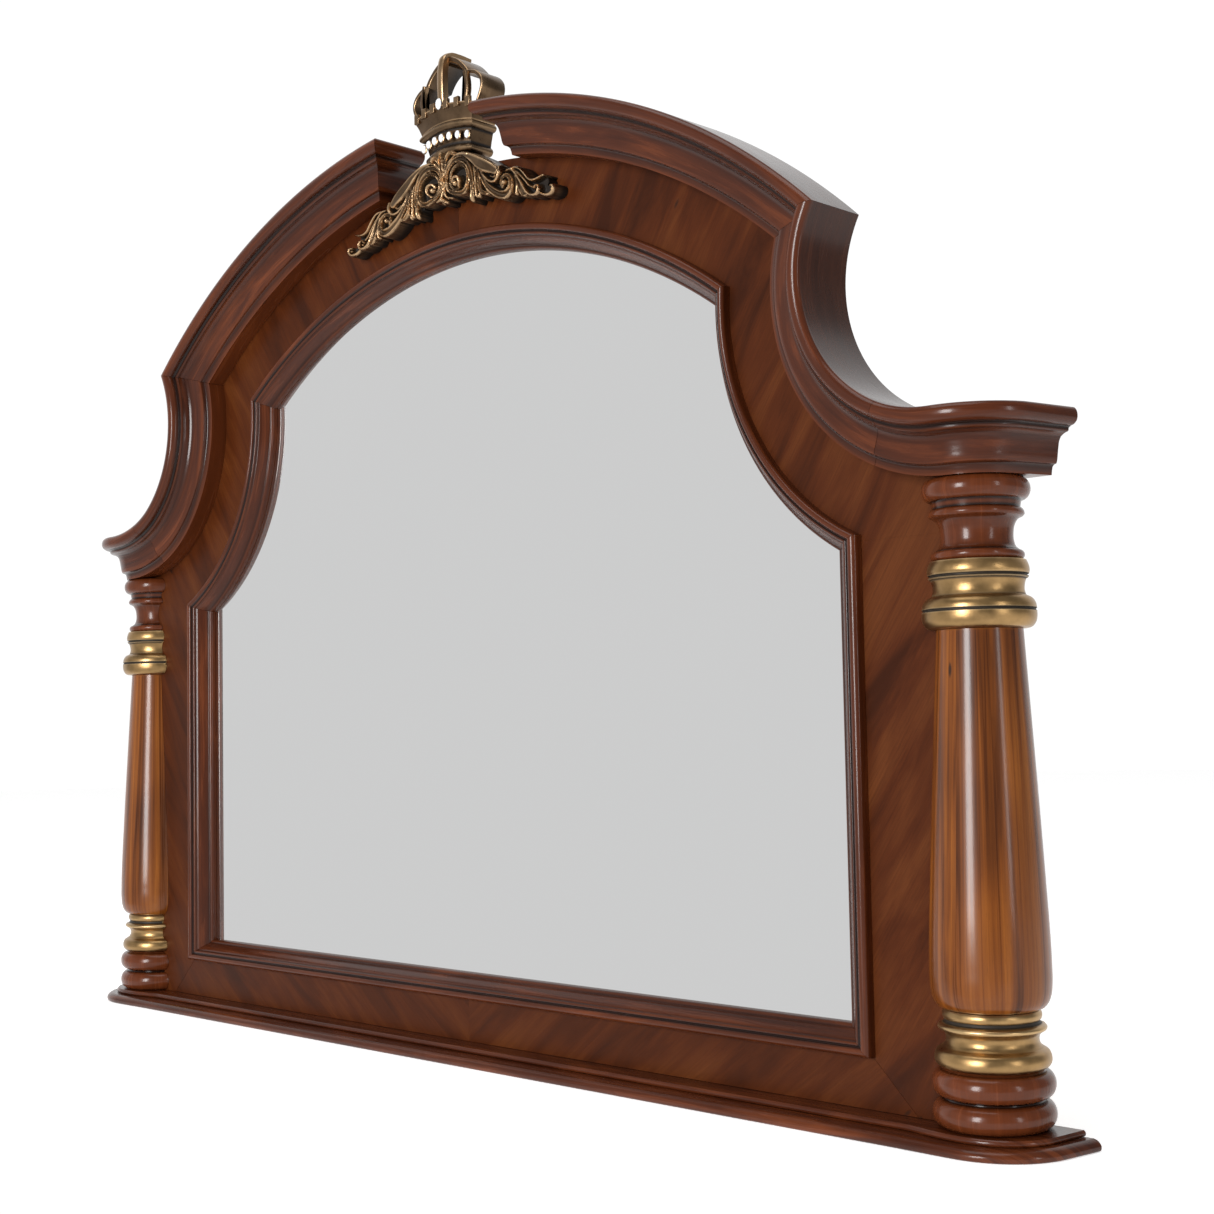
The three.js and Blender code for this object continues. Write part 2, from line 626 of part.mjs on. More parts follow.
export default mirror;
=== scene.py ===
"""Looks of a landscape dresser mirror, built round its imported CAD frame.

Shapes are worked out in millimetres and scaled to metres when a mesh is made. x runs across,
y from the front (negative) to the back, and z up; the panel's front face is y = 0.
"""
import math

import bpy
import numpy as np
from mathutils import Matrix, Vector


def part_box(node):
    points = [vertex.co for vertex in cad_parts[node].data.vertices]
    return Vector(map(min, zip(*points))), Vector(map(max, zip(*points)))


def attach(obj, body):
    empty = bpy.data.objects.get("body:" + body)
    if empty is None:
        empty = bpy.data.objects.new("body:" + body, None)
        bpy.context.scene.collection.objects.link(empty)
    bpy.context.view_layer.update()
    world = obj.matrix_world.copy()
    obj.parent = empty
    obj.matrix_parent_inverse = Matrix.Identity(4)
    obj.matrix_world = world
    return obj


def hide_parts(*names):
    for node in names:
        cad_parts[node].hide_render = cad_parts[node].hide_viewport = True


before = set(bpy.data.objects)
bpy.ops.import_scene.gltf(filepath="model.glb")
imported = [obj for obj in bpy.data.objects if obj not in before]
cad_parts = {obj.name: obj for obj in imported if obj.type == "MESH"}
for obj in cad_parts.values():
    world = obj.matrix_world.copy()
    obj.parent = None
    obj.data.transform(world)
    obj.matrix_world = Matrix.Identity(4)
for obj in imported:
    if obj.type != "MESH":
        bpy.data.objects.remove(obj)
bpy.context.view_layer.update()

MM = 0.001

# ---- Driving dimensions, those of the frame ----

GAP = 0.3


def low(node, axis):
    """A CAD node's lowest coordinate along an axis, in millimetres."""
    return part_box(node)[0][axis] / MM


def high(node, axis):
    """A CAD node's highest coordinate along an axis, in millimetres."""
    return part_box(node)[1][axis] / MM


X, Y, Z = 0, 1, 2
PANEL_BACK = high("panel_bottom_rail", Y)
PLINTH_BACK = high("plinth_base", Y)
PLINTH_TOP = high("plinth_step", Z)
STEP_BOTTOM = low("plinth_step", Z)
PANEL_EDGE_X = high("panel_stile_right", X)
ARCH = (0.0, 247.3)
ARCH_RADIUS = 748.2
SHOULDER = (627.0, 728.0)
SHOULDER_RADIUS = 130.0
HOLLOW = (621.9, 727.0)
COLUMN = (624.7, 17.0)
CAPITAL_TOP = SHOULDER[1] - SHOULDER_RADIUS
CAPITAL_START = math.radians(246)
CAPITAL_END = math.radians(267)
CAPITAL_FORWARD = 3.5
CAPITAL_EASE = (545.0, 620.0)
CAPITAL_TURN = math.radians(68)
CAPITAL_CORNER_X = 704.0
CAPITAL_DRAW_IN = 0.8
BREAK_X = 130.0
RABBET = 50.3
SIGHT = {"side": 520.0, "bottom": 59.6, "concave": 244.0, "arch": 632.8}
GLASS = {"side": 489.6, "bottom": 84.6, "concave": 267.8, "arch": 607.8}
SIGHT_ARCH = (0.0, 241.6)
SIGHT_WIDTH = 29.0
PANEL_LAP = 14.0
GLASS_LAP = 14.4
BOARD_LAP = 2.0
SWELL = (560.0, 616.0)
SWELL_TURN = 1.4
CROWN_HALF_WIDTH = 44.3
CROWN_BACK = 18.0
CROWN_BULGE = 6.0
CROWN_LIFT = 4.5
CROWN_FLOOR = 1007.0
CROWN_FRONT = -18.0
SHELL_FOOT = 1012.3
TEETH = (10.9, 26.4, 41.5)
GEM_PITCH = 11.8

# ---- Curves ----


def smooth(points, step=1.0):
    """An even curve through points, with a point about every step."""
    p = np.array(points, float)
    if len(p) < 3:
        return p
    gaps = np.linalg.norm(np.diff(p[:, :2], axis=0), axis=1)
    slope = np.gradient(p, np.concatenate([[0], np.cumsum(gaps)]), axis=0)
    out = []
    for i, gap in enumerate(gaps):
        count = max(1, round(gap / step))
        s = (np.arange(count) / count)[:, None]
        start = (2 * s ** 3 - 3 * s ** 2 + 1) * p[i] + (s ** 3 - 2 * s ** 2 + s) * gap * slope[i]
        end = (3 * s ** 2 - 2 * s ** 3) * p[i + 1] + (s ** 3 - s ** 2) * gap * slope[i + 1]
        out.append(start + end)
    return np.concatenate([*out, p[-1:]])


def runs(*parts, step=0.8):
    """Smooth runs that meet in corners."""
    return np.concatenate([smooth(part, step) for part in parts])


def bulge(z0, z1, radius, depth):
    """Half-round bulge of a turned profile between two heights: (radius, z) points."""
    turns = np.linspace(-math.pi / 2, math.pi / 2, 15)
    across = radius - depth + depth * np.cos(turns)
    return np.stack([across, z0 + (z1 - z0) * (1 + np.sin(turns)) / 2], axis=1)


def mix(a, b, t):
    return a + (b - a) * t


def ease(value, start, end):
    t = np.clip((value - start) / (end - start), 0, 1)
    return t * t * (3 - 2 * t)


def on_circle(centre, radius, angle):
    return centre[0] + radius * np.cos(angle), centre[1] + radius * np.sin(angle)


def angle_to(centre, x, z):
    return np.mod(np.arctan2(z - centre[1], x - centre[0]), 2 * math.pi)


def arch_meets(arch_z, arch_radius, centre, radius):
    """The upper of the two points where an arch's circle meets the circle of a shoulder."""
    rise = centre[1] - arch_z
    apart = math.hypot(centre[0], rise)
    along = (arch_radius ** 2 - radius ** 2 + apart ** 2) / (2 * apart)
    across = np.sqrt(arch_radius ** 2 - along ** 2)
    x = (centre[0] * along - rise * across) / apart
    return x, arch_z + (rise * along + centre[0] * across) / apart


def arc(centre, radius, start, end, count):
    return np.stack(on_circle(centre, radius, np.linspace(start, end, count + 1)), axis=1)


def lengths_along(points):
    """The distance along a line of points, from its first to each."""
    return np.concatenate([[0], np.cumsum(np.linalg.norm(np.diff(points, axis=0), axis=1))])


def looped(points):
    return np.vstack([points, points[:1]])


def signed_area(outline):
    """The area inside an outline, positive where it runs anticlockwise."""
    x, y = outline.T
    return (x * np.roll(y, -1) - y * np.roll(x, -1)).sum() / 2


def sides(outline):
    """The steps into and out of each corner of a closed outline."""
    return outline - np.roll(outline, 1, axis=0), np.roll(outline, -1, axis=0) - outline


def directions(steps):
    return steps / np.linalg.norm(steps, axis=1)[:, None]


def left_of(steps):
    """Each step turned a quarter to its left."""
    return np.stack([-steps[:, 1], steps[:, 0]], axis=1)


# ---- Meshes ----

LEFT_GRAIN_SHIFT = (3.17, 1.43)


class Piece:
    """Points, faces, a grain coordinate for each face corner, and how deep each point lies in a groove
    (glaze and painted shade) or how far out on an edge it is (wear and painted highlight)."""

    def __init__(self):
        self.points = np.zeros((0, 3))
        self.faces = []
        self.grain = []
        self.flat = []
        self.glaze_and_shade = np.zeros(0)
        self.wear_and_highlight = np.zeros(0)

    def add(self, points, faces, grain, glaze_and_shade=None, wear_and_highlight=None, flat=None):
        points = np.asarray(points, float)
        blank = np.zeros(len(points))
        start = len(self.points)
        if signed_volume(points, faces) < 0:
            faces = [tuple(reversed(face)) for face in faces]
            grain = [list(reversed(corners)) for corners in grain]
        self.points = np.concatenate([self.points, points])
        self.faces += [tuple(start + i for i in face) for face in faces]
        self.grain += grain
        self.flat += [len(face) > 4 for face in faces] if flat is None else flat
        self.glaze_and_shade = np.concatenate([self.glaze_and_shade, blank if glaze_and_shade is None else glaze_and_shade])
        self.wear_and_highlight = np.concatenate([self.wear_and_highlight, blank if wear_and_highlight is None else wear_and_highlight])
        return self

    def mirrored(self):
        """The piece's mirror image, cut from other wood."""
        other = Piece()
        other.points = self.points * np.array([-1, 1, 1])
        other.faces = [tuple(reversed(face)) for face in self.faces]
        du, dv = LEFT_GRAIN_SHIFT
        other.grain = [[(u + du, v + dv) for u, v in reversed(corners)] for corners in self.grain]
        other.flat, other.glaze_and_shade, other.wear_and_highlight = self.flat, self.glaze_and_shade, self.wear_and_highlight
        return other


def signed_volume(points, faces):
    total = 0.0
    for face in faces:
        a = points[face[0]]
        for i in range(1, len(face) - 1):
            total += np.dot(a, np.cross(points[face[i]], points[face[i + 1]]))
    return total


def place(name, piece, slot, *nodes, sharp=32.0):
    """Makes a piece an object that rides on the frame and stands for its CAD nodes."""
    mesh = bpy.data.meshes.new(name)
    mesh.from_pydata((piece.points * MM).tolist(), [], piece.faces)
    layer = mesh.uv_layers.new(name="grain")
    layer.data.foreach_set("uv", np.array([uv for face in piece.grain for uv in face], float).ravel())
    for label, values in (("glaze_and_shade", piece.glaze_and_shade), ("wear_and_highlight", piece.wear_and_highlight)):
        mesh.attributes.new(label, "FLOAT", "POINT").data.foreach_set("value", values)
    mesh.set_sharp_from_angle(angle=math.radians(sharp))
    mesh.polygons.foreach_set("use_smooth", [not flat for flat in piece.flat])
    mesh.validate()
    mesh.materials.append(MATERIALS[slot])
    thing = bpy.data.objects.new(name, mesh)
    bpy.context.scene.collection.objects.link(thing)
    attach(thing, "root")
    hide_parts(*nodes)
    return thing


def place_pair(name, piece, slot, sharp=32.0):
    """A piece on the right and its mirror image on the left, each for the CAD node of its own name."""
    for side, half in (("right", piece), ("left", piece.mirrored())):
        place(f"{name}_{side}", half, slot, f"{name}_{side}", sharp=sharp)


def turns_of(section):
    """The signed turn at each point of a closed section, positive where it bulges outward."""
    before, after = sides(section)
    turn = np.arctan2((left_of(before) * after).sum(axis=1), (before * after).sum(axis=1))
    return turn * np.sign(signed_area(section))


def spread(amount, where, reach, full):
    """Amounts at places along a line, blurred over a reach and cut off at full."""
    weight = np.exp(-((where[:, None] - where[None, :]) / reach) ** 2)
    return np.clip(weight @ amount / full, 0, 1)


def groove_and_edge(section):
    """Glaze with painted shade in the grooves, and wear with painted highlight on the edges, along a section.
    """
    where = lengths_along(section)
    turn = turns_of(section)
    glaze_and_shade = spread(np.clip(-turn, 0, None), where, 1.9, 1.1)
    wear_and_highlight = spread(np.clip(turn, 0, None), where, 1.2, 1.6)
    return glaze_and_shade, wear_and_highlight


def skin(count, width, wrap=False):
    """The quads between neighbouring rings of points, from the last ring to the first too when wrapped."""
    faces = []
    for i in range(count if wrap else count - 1):
        m = (i + 1) % count
        for j in range(width):
            k = (j + 1) % width
            faces.append((i * width + j, m * width + j, m * width + k, i * width + k))
    return faces


def unrolled(u, v):
    """Grain coordinates for the corners of each quad of a skin."""
    return [
        [(u[i], v[j]), (u[i + 1], v[j]), (u[i + 1], v[j + 1]), (u[i], v[j + 1])]
        for i in range(len(u) - 1) for j in range(len(v) - 1)
    ]


def end_caps(count, width):
    """The faces that close the first and the last ring."""
    return [tuple(range(width)), tuple((count - 1) * width + j for j in reversed(range(width)))]


def loft(rings, section):
    """A closed skin through rings of equal point count, with the grain running from ring to ring."""
    rings = np.asarray(rings, float)
    count, width = rings.shape[:2]
    section = np.asarray(section, float)
    u = lengths_along(rings.mean(axis=1)) * MM
    v = lengths_along(looped(section)) * MM
    cap = [(a * MM, b * MM) for a, b in section]
    faces = skin(count, width) + end_caps(count, width)
    grain = [*unrolled(u, v), cap, list(reversed(cap))]
    glaze_and_shade, wear_and_highlight = groove_and_edge(section)
    return Piece().add(rings.reshape(-1, 3), faces, grain, np.tile(glaze_and_shade, count), np.tile(wear_and_highlight, count))


def inset(outline, distance):
    """An anticlockwise outline drawn in by a distance."""
    first, second = (left_of(directions(steps)) for steps in sides(outline))
    share = 1 + (first * second).sum(axis=1)
    return outline + distance * (first + second) / share[:, None]


def anticlockwise(outline):
    outline = np.asarray(outline, float)
    return outline if signed_area(outline) > 0 else outline[::-1]


def board(outline, y0, y1, edge=0.6, grain_angle=0.0):
    """A flat board with softened edges: an outline in x and z between two depths."""
    outline = anticlockwise(outline)
    levels = [(edge * (1 - math.sin(a)), edge * (1 - math.cos(a))) for a in np.linspace(0, math.pi / 2, 4)]
    front = [(inset(outline, draw), y0 + depth) for draw, depth in levels]
    back = [(inset(outline, draw), y1 - depth) for draw, depth in reversed(levels)]
    rings = [np.stack([x_z[:, 0], np.full(len(x_z), y), x_z[:, 1]], axis=1) for x_z, y in front + back]
    width = len(outline)
    points = np.concatenate(rings)
    x, y, z = points.T
    cos, sin = math.cos(grain_angle), math.sin(grain_angle)
    u = (x * cos + z * sin) * MM
    v = (-x * sin + z * cos + y) * MM
    faces = skin(len(rings), width) + end_caps(len(rings), width)
    grain = [[(u[i], v[i]) for i in face] for face in faces]
    wear_and_highlight = np.zeros(len(points))
    # The rounded edges are lightened: wear and painted highlight.
    wear_and_highlight[width:-width] = 0.5
    return Piece().add(points, faces, grain, wear_and_highlight=wear_and_highlight, flat=[False] * (len(faces) - 2) + [True, True])


def block(x0, x1, y0, y1, z0, z1, edge=0.8):
    return board([(x0, z0), (x1, z0), (x1, z1), (x0, z1)], y0, y1, edge)


# ---- Materials ----


class Nodes:
    """A short way to write the nodes of a material or a world."""

    def __init__(self, owner):
        owner.use_nodes = True
        self.owner = owner
        self.tree = owner.node_tree
        self.shader = self.tree.nodes.get("Principled BSDF") or self.tree.nodes["Background"]

    def node(self, kind, **settings):
        made = self.tree.nodes.new(kind)
        for key, value in settings.items():
            setattr(made, key, value)
        return made

    def put(self, socket, value):
        if isinstance(value, bpy.types.NodeSocket):
            self.tree.links.new(value, socket)
        else:
            socket.default_value = value

    def set(self, **values):
        """Sets the shader's sockets, with _ for a space in a name."""
        for key, value in values.items():
            self.put(self.shader.inputs[key.replace("_", " ")], value)

    def grain(self):
        return self.node("ShaderNodeUVMap", uv_map="grain").outputs["UV"]

    def place_in_object(self):
        return self.node("ShaderNodeTexCoord").outputs["Object"]

    def attribute(self, name):
        return self.node("ShaderNodeAttribute", attribute_name=name).outputs["Fac"]

    def scaled(self, vector, x, y, z=1.0, offset=(0.0, 0.0, 0.0)):
        made = self.node("ShaderNodeMapping")
        self.put(made.inputs["Vector"], vector)
        made.inputs["Scale"].default_value = (x, y, z)
        made.inputs["Location"].default_value = offset
        return made.outputs["Vector"]

    def noise(self, vector, scale=1.0, detail=2.0, roughness=0.55, distortion=0.0):
        made = self.node("ShaderNodeTexNoise")
        values = {"Scale": scale, "Detail": detail, "Roughness": roughness, "Distortion": distortion}
        for key, value in {"Vector": vector, **values}.items():
            self.put(made.inputs[key], value)
        return made.outputs["Fac"]

    def spots(self, vector, chance):
        """Small round marks, one in some of the cells."""
        made = self.node("ShaderNodeTexVoronoi")
        self.put(made.inputs["Vector"], vector)
        made.inputs["Scale"].default_value = 1.0
        near = self.range(made.outputs["Distance"], 0.06, 0.12, 1.0, 0.0)
        split = self.node("ShaderNodeSeparateColor")
        self.put(split.inputs["Color"], made.outputs["Color"])
        return self.times(near, self.math("LESS_THAN", split.outputs["Red"], chance))

    def math(self, operation, a, b):
        made = self.node("ShaderNodeMath", operation=operation)
        self.put(made.inputs[0], a)
        self.put(made.inputs[1], b)
        return made.outputs[0]

    def times(self, a, b):
        return self.math("MULTIPLY", a, b)

    def range(self, value, low_in, high_in, low_out=0.0, high_out=1.0, **settings):
        made = self.node("ShaderNodeMapRange", **settings)
        for socket, given in zip(made.inputs, (value, low_in, high_in, low_out, high_out)):
            self.put(socket, given)
        return made.outputs[0]

    def ramp(self, value, *stops):
        """A colour ramp through (position, (r, g, b)) stops."""
        made = self.node("ShaderNodeValToRGB")
        self.put(made.inputs["Fac"], value)
        elements = made.color_ramp.elements
        while len(elements) < len(stops):
            elements.new(0.5)
        for element, (position, color) in zip(elements, stops):
            element.position = position
            element.color = (*color, 1.0)
        return made.outputs["Color"]

    def blend(self, share, a, b):
        made = self.node("ShaderNodeMix", data_type="RGBA")
        colors = [socket for socket in made.inputs if socket.type == "RGBA"]
        self.put(made.inputs["Factor"], share)
        for socket, value in zip(colors, (a, b)):
            self.put(socket, value if isinstance(value, bpy.types.NodeSocket) else (*value, 1.0))
        return next(socket for socket in made.outputs if socket.type == "RGBA")

    def bump(self, height, distance, strength):
        made = self.node("ShaderNodeBump")
        for key, value in (("Strength", strength), ("Distance", distance), ("Height", height)):
            self.put(made.inputs[key], value)
        self.put(self.shader.inputs["Normal"], made.outputs["Normal"])


def material(name):
    return Nodes(bpy.data.materials.new(name))


def shade(color, share):
    return tuple(share * c for c in color)


NICK_COLOR = (0.012, 0.006, 0.004)


def wood(name, dark, middle, light, gloss, figure, contrast, nicks, coat, shine):
    """Lacquered wood: cloudy figure, fine grain and pores along u, dark glaze with painted shade in grooves,
    lighter wear with painted highlights on edges, nicks.
    """
    n = material(name)
    grain = n.grain()
    cloud = n.noise(n.scaled(grain, *figure), detail=4.0, roughness=0.6, distortion=0.7)
    slow = n.noise(n.scaled(grain, 5.0, 9.0, offset=(3.0, 1.0, 0.0)))
    tone = n.math("ADD", n.times(cloud, 0.65), n.times(slow, 0.35))
    spread_tone = n.range(tone, 0.5 - 0.16 / contrast, 0.5 + 0.16 / contrast)
    color = n.ramp(spread_tone, (0.0, dark), (0.5, middle), (1.0, light))
    lines = n.noise(n.scaled(grain, 12.0, 620.0), detail=3.0, roughness=0.7)
    pores = n.noise(n.scaled(grain, 90.0, 1900.0), detail=1.0)
    marks = n.spots(n.scaled(grain, 16.0, 42.0), nicks * 0.25)
    # The last two blends are partly painted light: edges lightened (wear and painted highlight), grooves
    # darkened (glaze and painted shade).
    for share, over in (
        (n.range(lines, 0.35, 0.75, 0.0, 0.45), shade(middle, 0.45)),
        (n.range(pores, 0.62, 0.78, 0.0, 0.35), shade(dark, 0.3)),
        (n.times(marks, 0.85), NICK_COLOR),
        (n.times(n.attribute("wear_and_highlight"), 0.4), light),
        (n.times(n.attribute("glaze_and_shade"), 0.9), shade(dark, 0.1)),
    ):
        color = n.blend(share, color, over)
    n.set(Base_Color=color, Roughness=n.range(cloud, 0.3, 0.7, gloss - 0.03, gloss + 0.05))
    n.set(Coat_Weight=coat, Coat_Roughness=0.14, Specular_IOR_Level=shine)
    n.bump(n.math("SUBTRACT", n.times(lines, 0.25), n.times(marks, 2.0)), 0.00012, 0.6)
    return n.owner


def raw_wood(name, dark, light):
    """Unfinished board for the back: plain straight grain."""
    n = material(name)
    grain = n.grain()
    bands = n.noise(n.scaled(grain, 3.0, 60.0), detail=4.0, roughness=0.6, distortion=0.4)
    lines = n.noise(n.scaled(grain, 14.0, 700.0))
    color = n.ramp(n.range(bands, 0.3, 0.7), (0.0, dark), (1.0, light))
    color = n.blend(n.range(lines, 0.4, 0.7, 0.0, 0.35), color, shade(dark, 0.6))
    n.set(Base_Color=color, Roughness=n.range(lines, 0.3, 0.7, 0.65, 0.8))
    n.bump(lines, 0.0003, 0.5)
    return n.owner


def antique_metal(name, recess, body, bright, roughness, paint_and_shade_from, paint_and_shade_full):
    """Cast metal with dark paint and painted shade in the hollows, and rubbed bright with painted highlights
    on the high edges.
    """
    n = material(name)
    where = n.place_in_object()
    cloud = n.noise(where, scale=55.0, detail=4.0, roughness=0.6)
    fine = n.noise(where, scale=900.0)
    color = n.ramp(n.range(cloud, 0.35, 0.65), (0.0, shade(body, 0.72)), (1.0, body))
    # High edges lightened (rubbed metal and painted highlight); hollows darkened (dark paint and painted
    # shade).
    rubbed_and_highlit = n.range(n.math("ADD", n.attribute("wear_and_highlight"), n.times(cloud, 0.3)), 0.35, 0.95)
    deep = n.math("ADD", n.attribute("glaze_and_shade"), n.times(cloud, 0.12))
    paint_and_shade = n.range(deep, paint_and_shade_from, paint_and_shade_full)
    rough = n.range(cloud, 0.3, 0.7, roughness - 0.05, roughness + 0.07)
    n.set(Base_Color=n.blend(paint_and_shade, n.blend(rubbed_and_highlit, color, bright), recess))
    n.set(Roughness=n.math("ADD", n.times(paint_and_shade, 0.25), rough))
    n.set(Metallic=n.math("SUBTRACT", 1.0, n.times(paint_and_shade, 0.55)))
    n.bump(fine, 0.00015, 0.35)
    return n.owner


def mirror_silver():
    n = material("silvered_glass")
    smear = n.noise(n.place_in_object(), scale=6.0, detail=3.0)
    n.set(Base_Color=n.ramp(smear, (0.0, (0.940, 0.945, 0.945)), (1.0, (0.950, 0.950, 0.950))))
    n.set(Roughness=n.range(smear, 0.3, 0.7, 0.0, 0.012), Metallic=1.0)
    return n.owner


def crystal():
    n = material("cut_crystal")
    cloud = n.noise(n.place_in_object(), scale=400.0)
    n.set(Base_Color=n.ramp(cloud, (0.2, (0.74, 0.76, 0.80)), (0.8, (0.96, 0.97, 0.98))))
    n.set(Roughness=n.range(cloud, 0.2, 0.8, 0.03, 0.1), Coat_Weight=1.0, Coat_Roughness=0.03)
    n.set(Specular_IOR_Level=0.9)
    return n.owner


def steel():
    n = material("plain_steel")
    lines = n.noise(n.scaled(n.place_in_object(), 300.0, 300.0, 12.0))
    n.set(Base_Color=n.ramp(lines, (0.0, (0.32, 0.33, 0.34)), (1.0, (0.55, 0.56, 0.58))))
    n.set(Roughness=n.range(lines, 0.3, 0.7, 0.3, 0.5), Metallic=1.0)
    return n.owner


MATERIALS = {
    "mahogany": wood(
        "mahogany", (0.028, 0.0064, 0.0025), (0.064, 0.0145, 0.0046), (0.150, 0.036, 0.0095),
        gloss=0.25, figure=(8.0, 90.0), contrast=0.85, nicks=0.3, coat=0.24, shine=0.15,
    ),
    "veneer": wood(
        "veneer", (0.033, 0.0076, 0.0020), (0.066, 0.0150, 0.0032), (0.100, 0.027, 0.0060),
        gloss=0.38, figure=(5.0, 30.0), contrast=1.25, nicks=0.5, coat=0.0, shine=0.09,
    ),
    "shaft_wood": wood(
        "shaft_wood", (0.036, 0.0082, 0.0016), (0.148, 0.039, 0.0045), (0.265, 0.082, 0.0105),
        gloss=0.28, figure=(2.5, 110.0), contrast=1.3, nicks=0.2, coat=0.28, shine=0.16,
    ),
    "carcass_wood": raw_wood("carcass_wood", (0.26, 0.17, 0.095), (0.48, 0.35, 0.21)),
    "brass": antique_metal(
        "antique_brass", (0.020, 0.013, 0.007), (0.37, 0.230, 0.098), (0.56, 0.39, 0.20),
        roughness=0.32, paint_and_shade_from=0.5, paint_and_shade_full=1.0,
    ),
    "bronze": antique_metal(
        "antique_bronze", (0.014, 0.009, 0.006), (0.148, 0.093, 0.053), (0.50, 0.330, 0.185),
        roughness=0.29, paint_and_shade_from=0.15, paint_and_shade_full=0.75,
    ),
    "silvered": mirror_silver(),
    "crystal": crystal(),
    "steel": steel(),
}

# ---- Cornice ----

# Moulding section: millimetres forward of the panel, and inward from the outer surface.
CORNICE_FRONT = runs(
    [(45.5, 0.3), (49.3, 0.5), (51.8, 2.8), (53.0, 6.8), (52.2, 11.0), (49.0, 14.0), (44.6, 15.4)],
    [(44.4, 15.8), (42.6, 16.6)],
    [(42.4, 17.4), (42.2, 18.8), (40.6, 19.9)],
    [(40.2, 19.8), (37.0, 20.9), (34.0, 22.6)],
    [(33.4, 22.9), (31.4, 26.0), (30.1, 31.0), (29.1, 36.7), (28.0, 42.6), (27.2, 44.6)],
    [(26.4, 45.0), (24.4, 45.6), (22.6, 47.2), (22.0, 49.4)],
    [(21.9, 49.8), (21.8, 50.2)],
    [(21.7, 50.4), (21.2, 54.0)],
    [(GAP, 54.0)],
)
CORNICE_BACK = np.array([(GAP, RABBET), (-PANEL_BACK, RABBET), (-PANEL_BACK, 0.0)])
CORNICE = np.concatenate([CORNICE_FRONT, CORNICE_BACK])
FORWARD = CORNICE[:, 0]
INWARD = CORNICE[:, 1]
NOSE_FORWARD = FORWARD.max()
CORNICE_DEPTH = INWARD.max()
# How dark the painted shade on the cornice's outer face is, at its front and back edges.
OUTSIDE_SHADE = (0.45, 0.7)


def darkened_outside(piece):
    """The cornice moulding with painted shade on its outer face."""
    glaze_and_shade = piece.glaze_and_shade.reshape(-1, len(CORNICE))
    glaze_and_shade[:, 0], glaze_and_shade[:, -1] = OUTSIDE_SHADE
    return piece


def cornice_peak():
    return arch_meets(ARCH[1], ARCH_RADIUS - INWARD, SHOULDER, SHOULDER_RADIUS + INWARD)


def cornice_arch():
    """The arch moulding from its mitre at the break to its mitre at the peak."""
    radius = ARCH_RADIUS - INWARD
    start = np.arccos((BREAK_X - np.clip(FORWARD, 0, None) + GAP / 2) / radius)
    end = angle_to(ARCH, *cornice_peak()) + GAP / 2 / radius
    rings = []
    for t in np.linspace(0, 1, 73):
        x, z = on_circle(ARCH, radius, mix(start, end, t))
        rings.append(np.stack([x, -FORWARD, z], axis=1))
    return darkened_outside(loft(rings, CORNICE))


def cornice_return():
    """The short mitred length that turns the arch moulding back at the break in the pediment."""
    section = np.concatenate([CORNICE_FRONT, [(GAP, RABBET + 0.1), (GAP, RABBET - 0.1), (GAP, 0.0)]])
    forward, inward = section.T
    x = BREAK_X - forward - GAP / 2
    z = ARCH[1] + np.sqrt((ARCH_RADIUS - inward) ** 2 - x ** 2)
    back = np.where(inward > RABBET, -GAP, PANEL_BACK)
    rings = [np.stack([x, y, z], axis=1) for y in (-forward, back)]
    return loft(rings, section)


def shoulder_ring(angle):
    """The section at an angle of the shoulder, eased forward over its foot to meet the column's cap."""
    angle = np.broadcast_to(angle, INWARD.shape)
    outer_x = on_circle(SHOULDER, SHOULDER_RADIUS, angle)[0]
    ahead = np.where(FORWARD > GAP, CAPITAL_FORWARD * ease(outer_x, *CAPITAL_EASE), 0)
    x, z = on_circle(SHOULDER, SHOULDER_RADIUS + INWARD, angle)
    return np.stack([x, -FORWARD - ahead, z], axis=1)


def cornice_shoulder():
    start = angle_to(SHOULDER, *cornice_peak()) + GAP / 2 / SHOULDER_RADIUS
    end = CAPITAL_START - GAP / SHOULDER_RADIUS
    rings = [shoulder_ring(mix(start, end, t)) for t in np.linspace(0, 1, 61)]
    return darkened_outside(loft(rings, CORNICE))


def capital():
    """The column's cap: the shoulder moulding is carried round the column to the back."""
    inside = FORWARD <= GAP
    swept = [shoulder_ring(mix(CAPITAL_START, CAPITAL_END, t)) for t in np.linspace(0, 1, 13)]
    radius = FORWARD + CAPITAL_FORWARD + COLUMN[1]
    z = CAPITAL_TOP - INWARD
    turned = []
    for turn in np.linspace(0, CAPITAL_TURN, 25):
        held = np.full(len(radius), PANEL_BACK) if turn > 0 else -FORWARD
        x = np.where(inside, COLUMN[0], COLUMN[0] + radius * math.sin(turn))
        y = np.where(inside, held, COLUMN[1] - radius * math.cos(turn))
        turned.append(np.stack([x, y, z], axis=1))
    back = PLINTH_BACK - GAP
    corner_x = CAPITAL_CORNER_X - CAPITAL_DRAW_IN * (NOSE_FORWARD - FORWARD)
    end = np.stack([np.where(inside, COLUMN[0] + 2, corner_x), np.full(len(z), back), z], axis=1)
    piece = loft([*swept, *turned, end], CORNICE)
    behind = block(
        high("rear_stile_right", X) + 3, COLUMN[0] + 1.5, PANEL_BACK + GAP, back,
        CAPITAL_TOP - CORNICE_DEPTH, CAPITAL_TOP - 1,
    )
    return joined(piece, behind)


# ---- Sight moulding, glass and panel ----

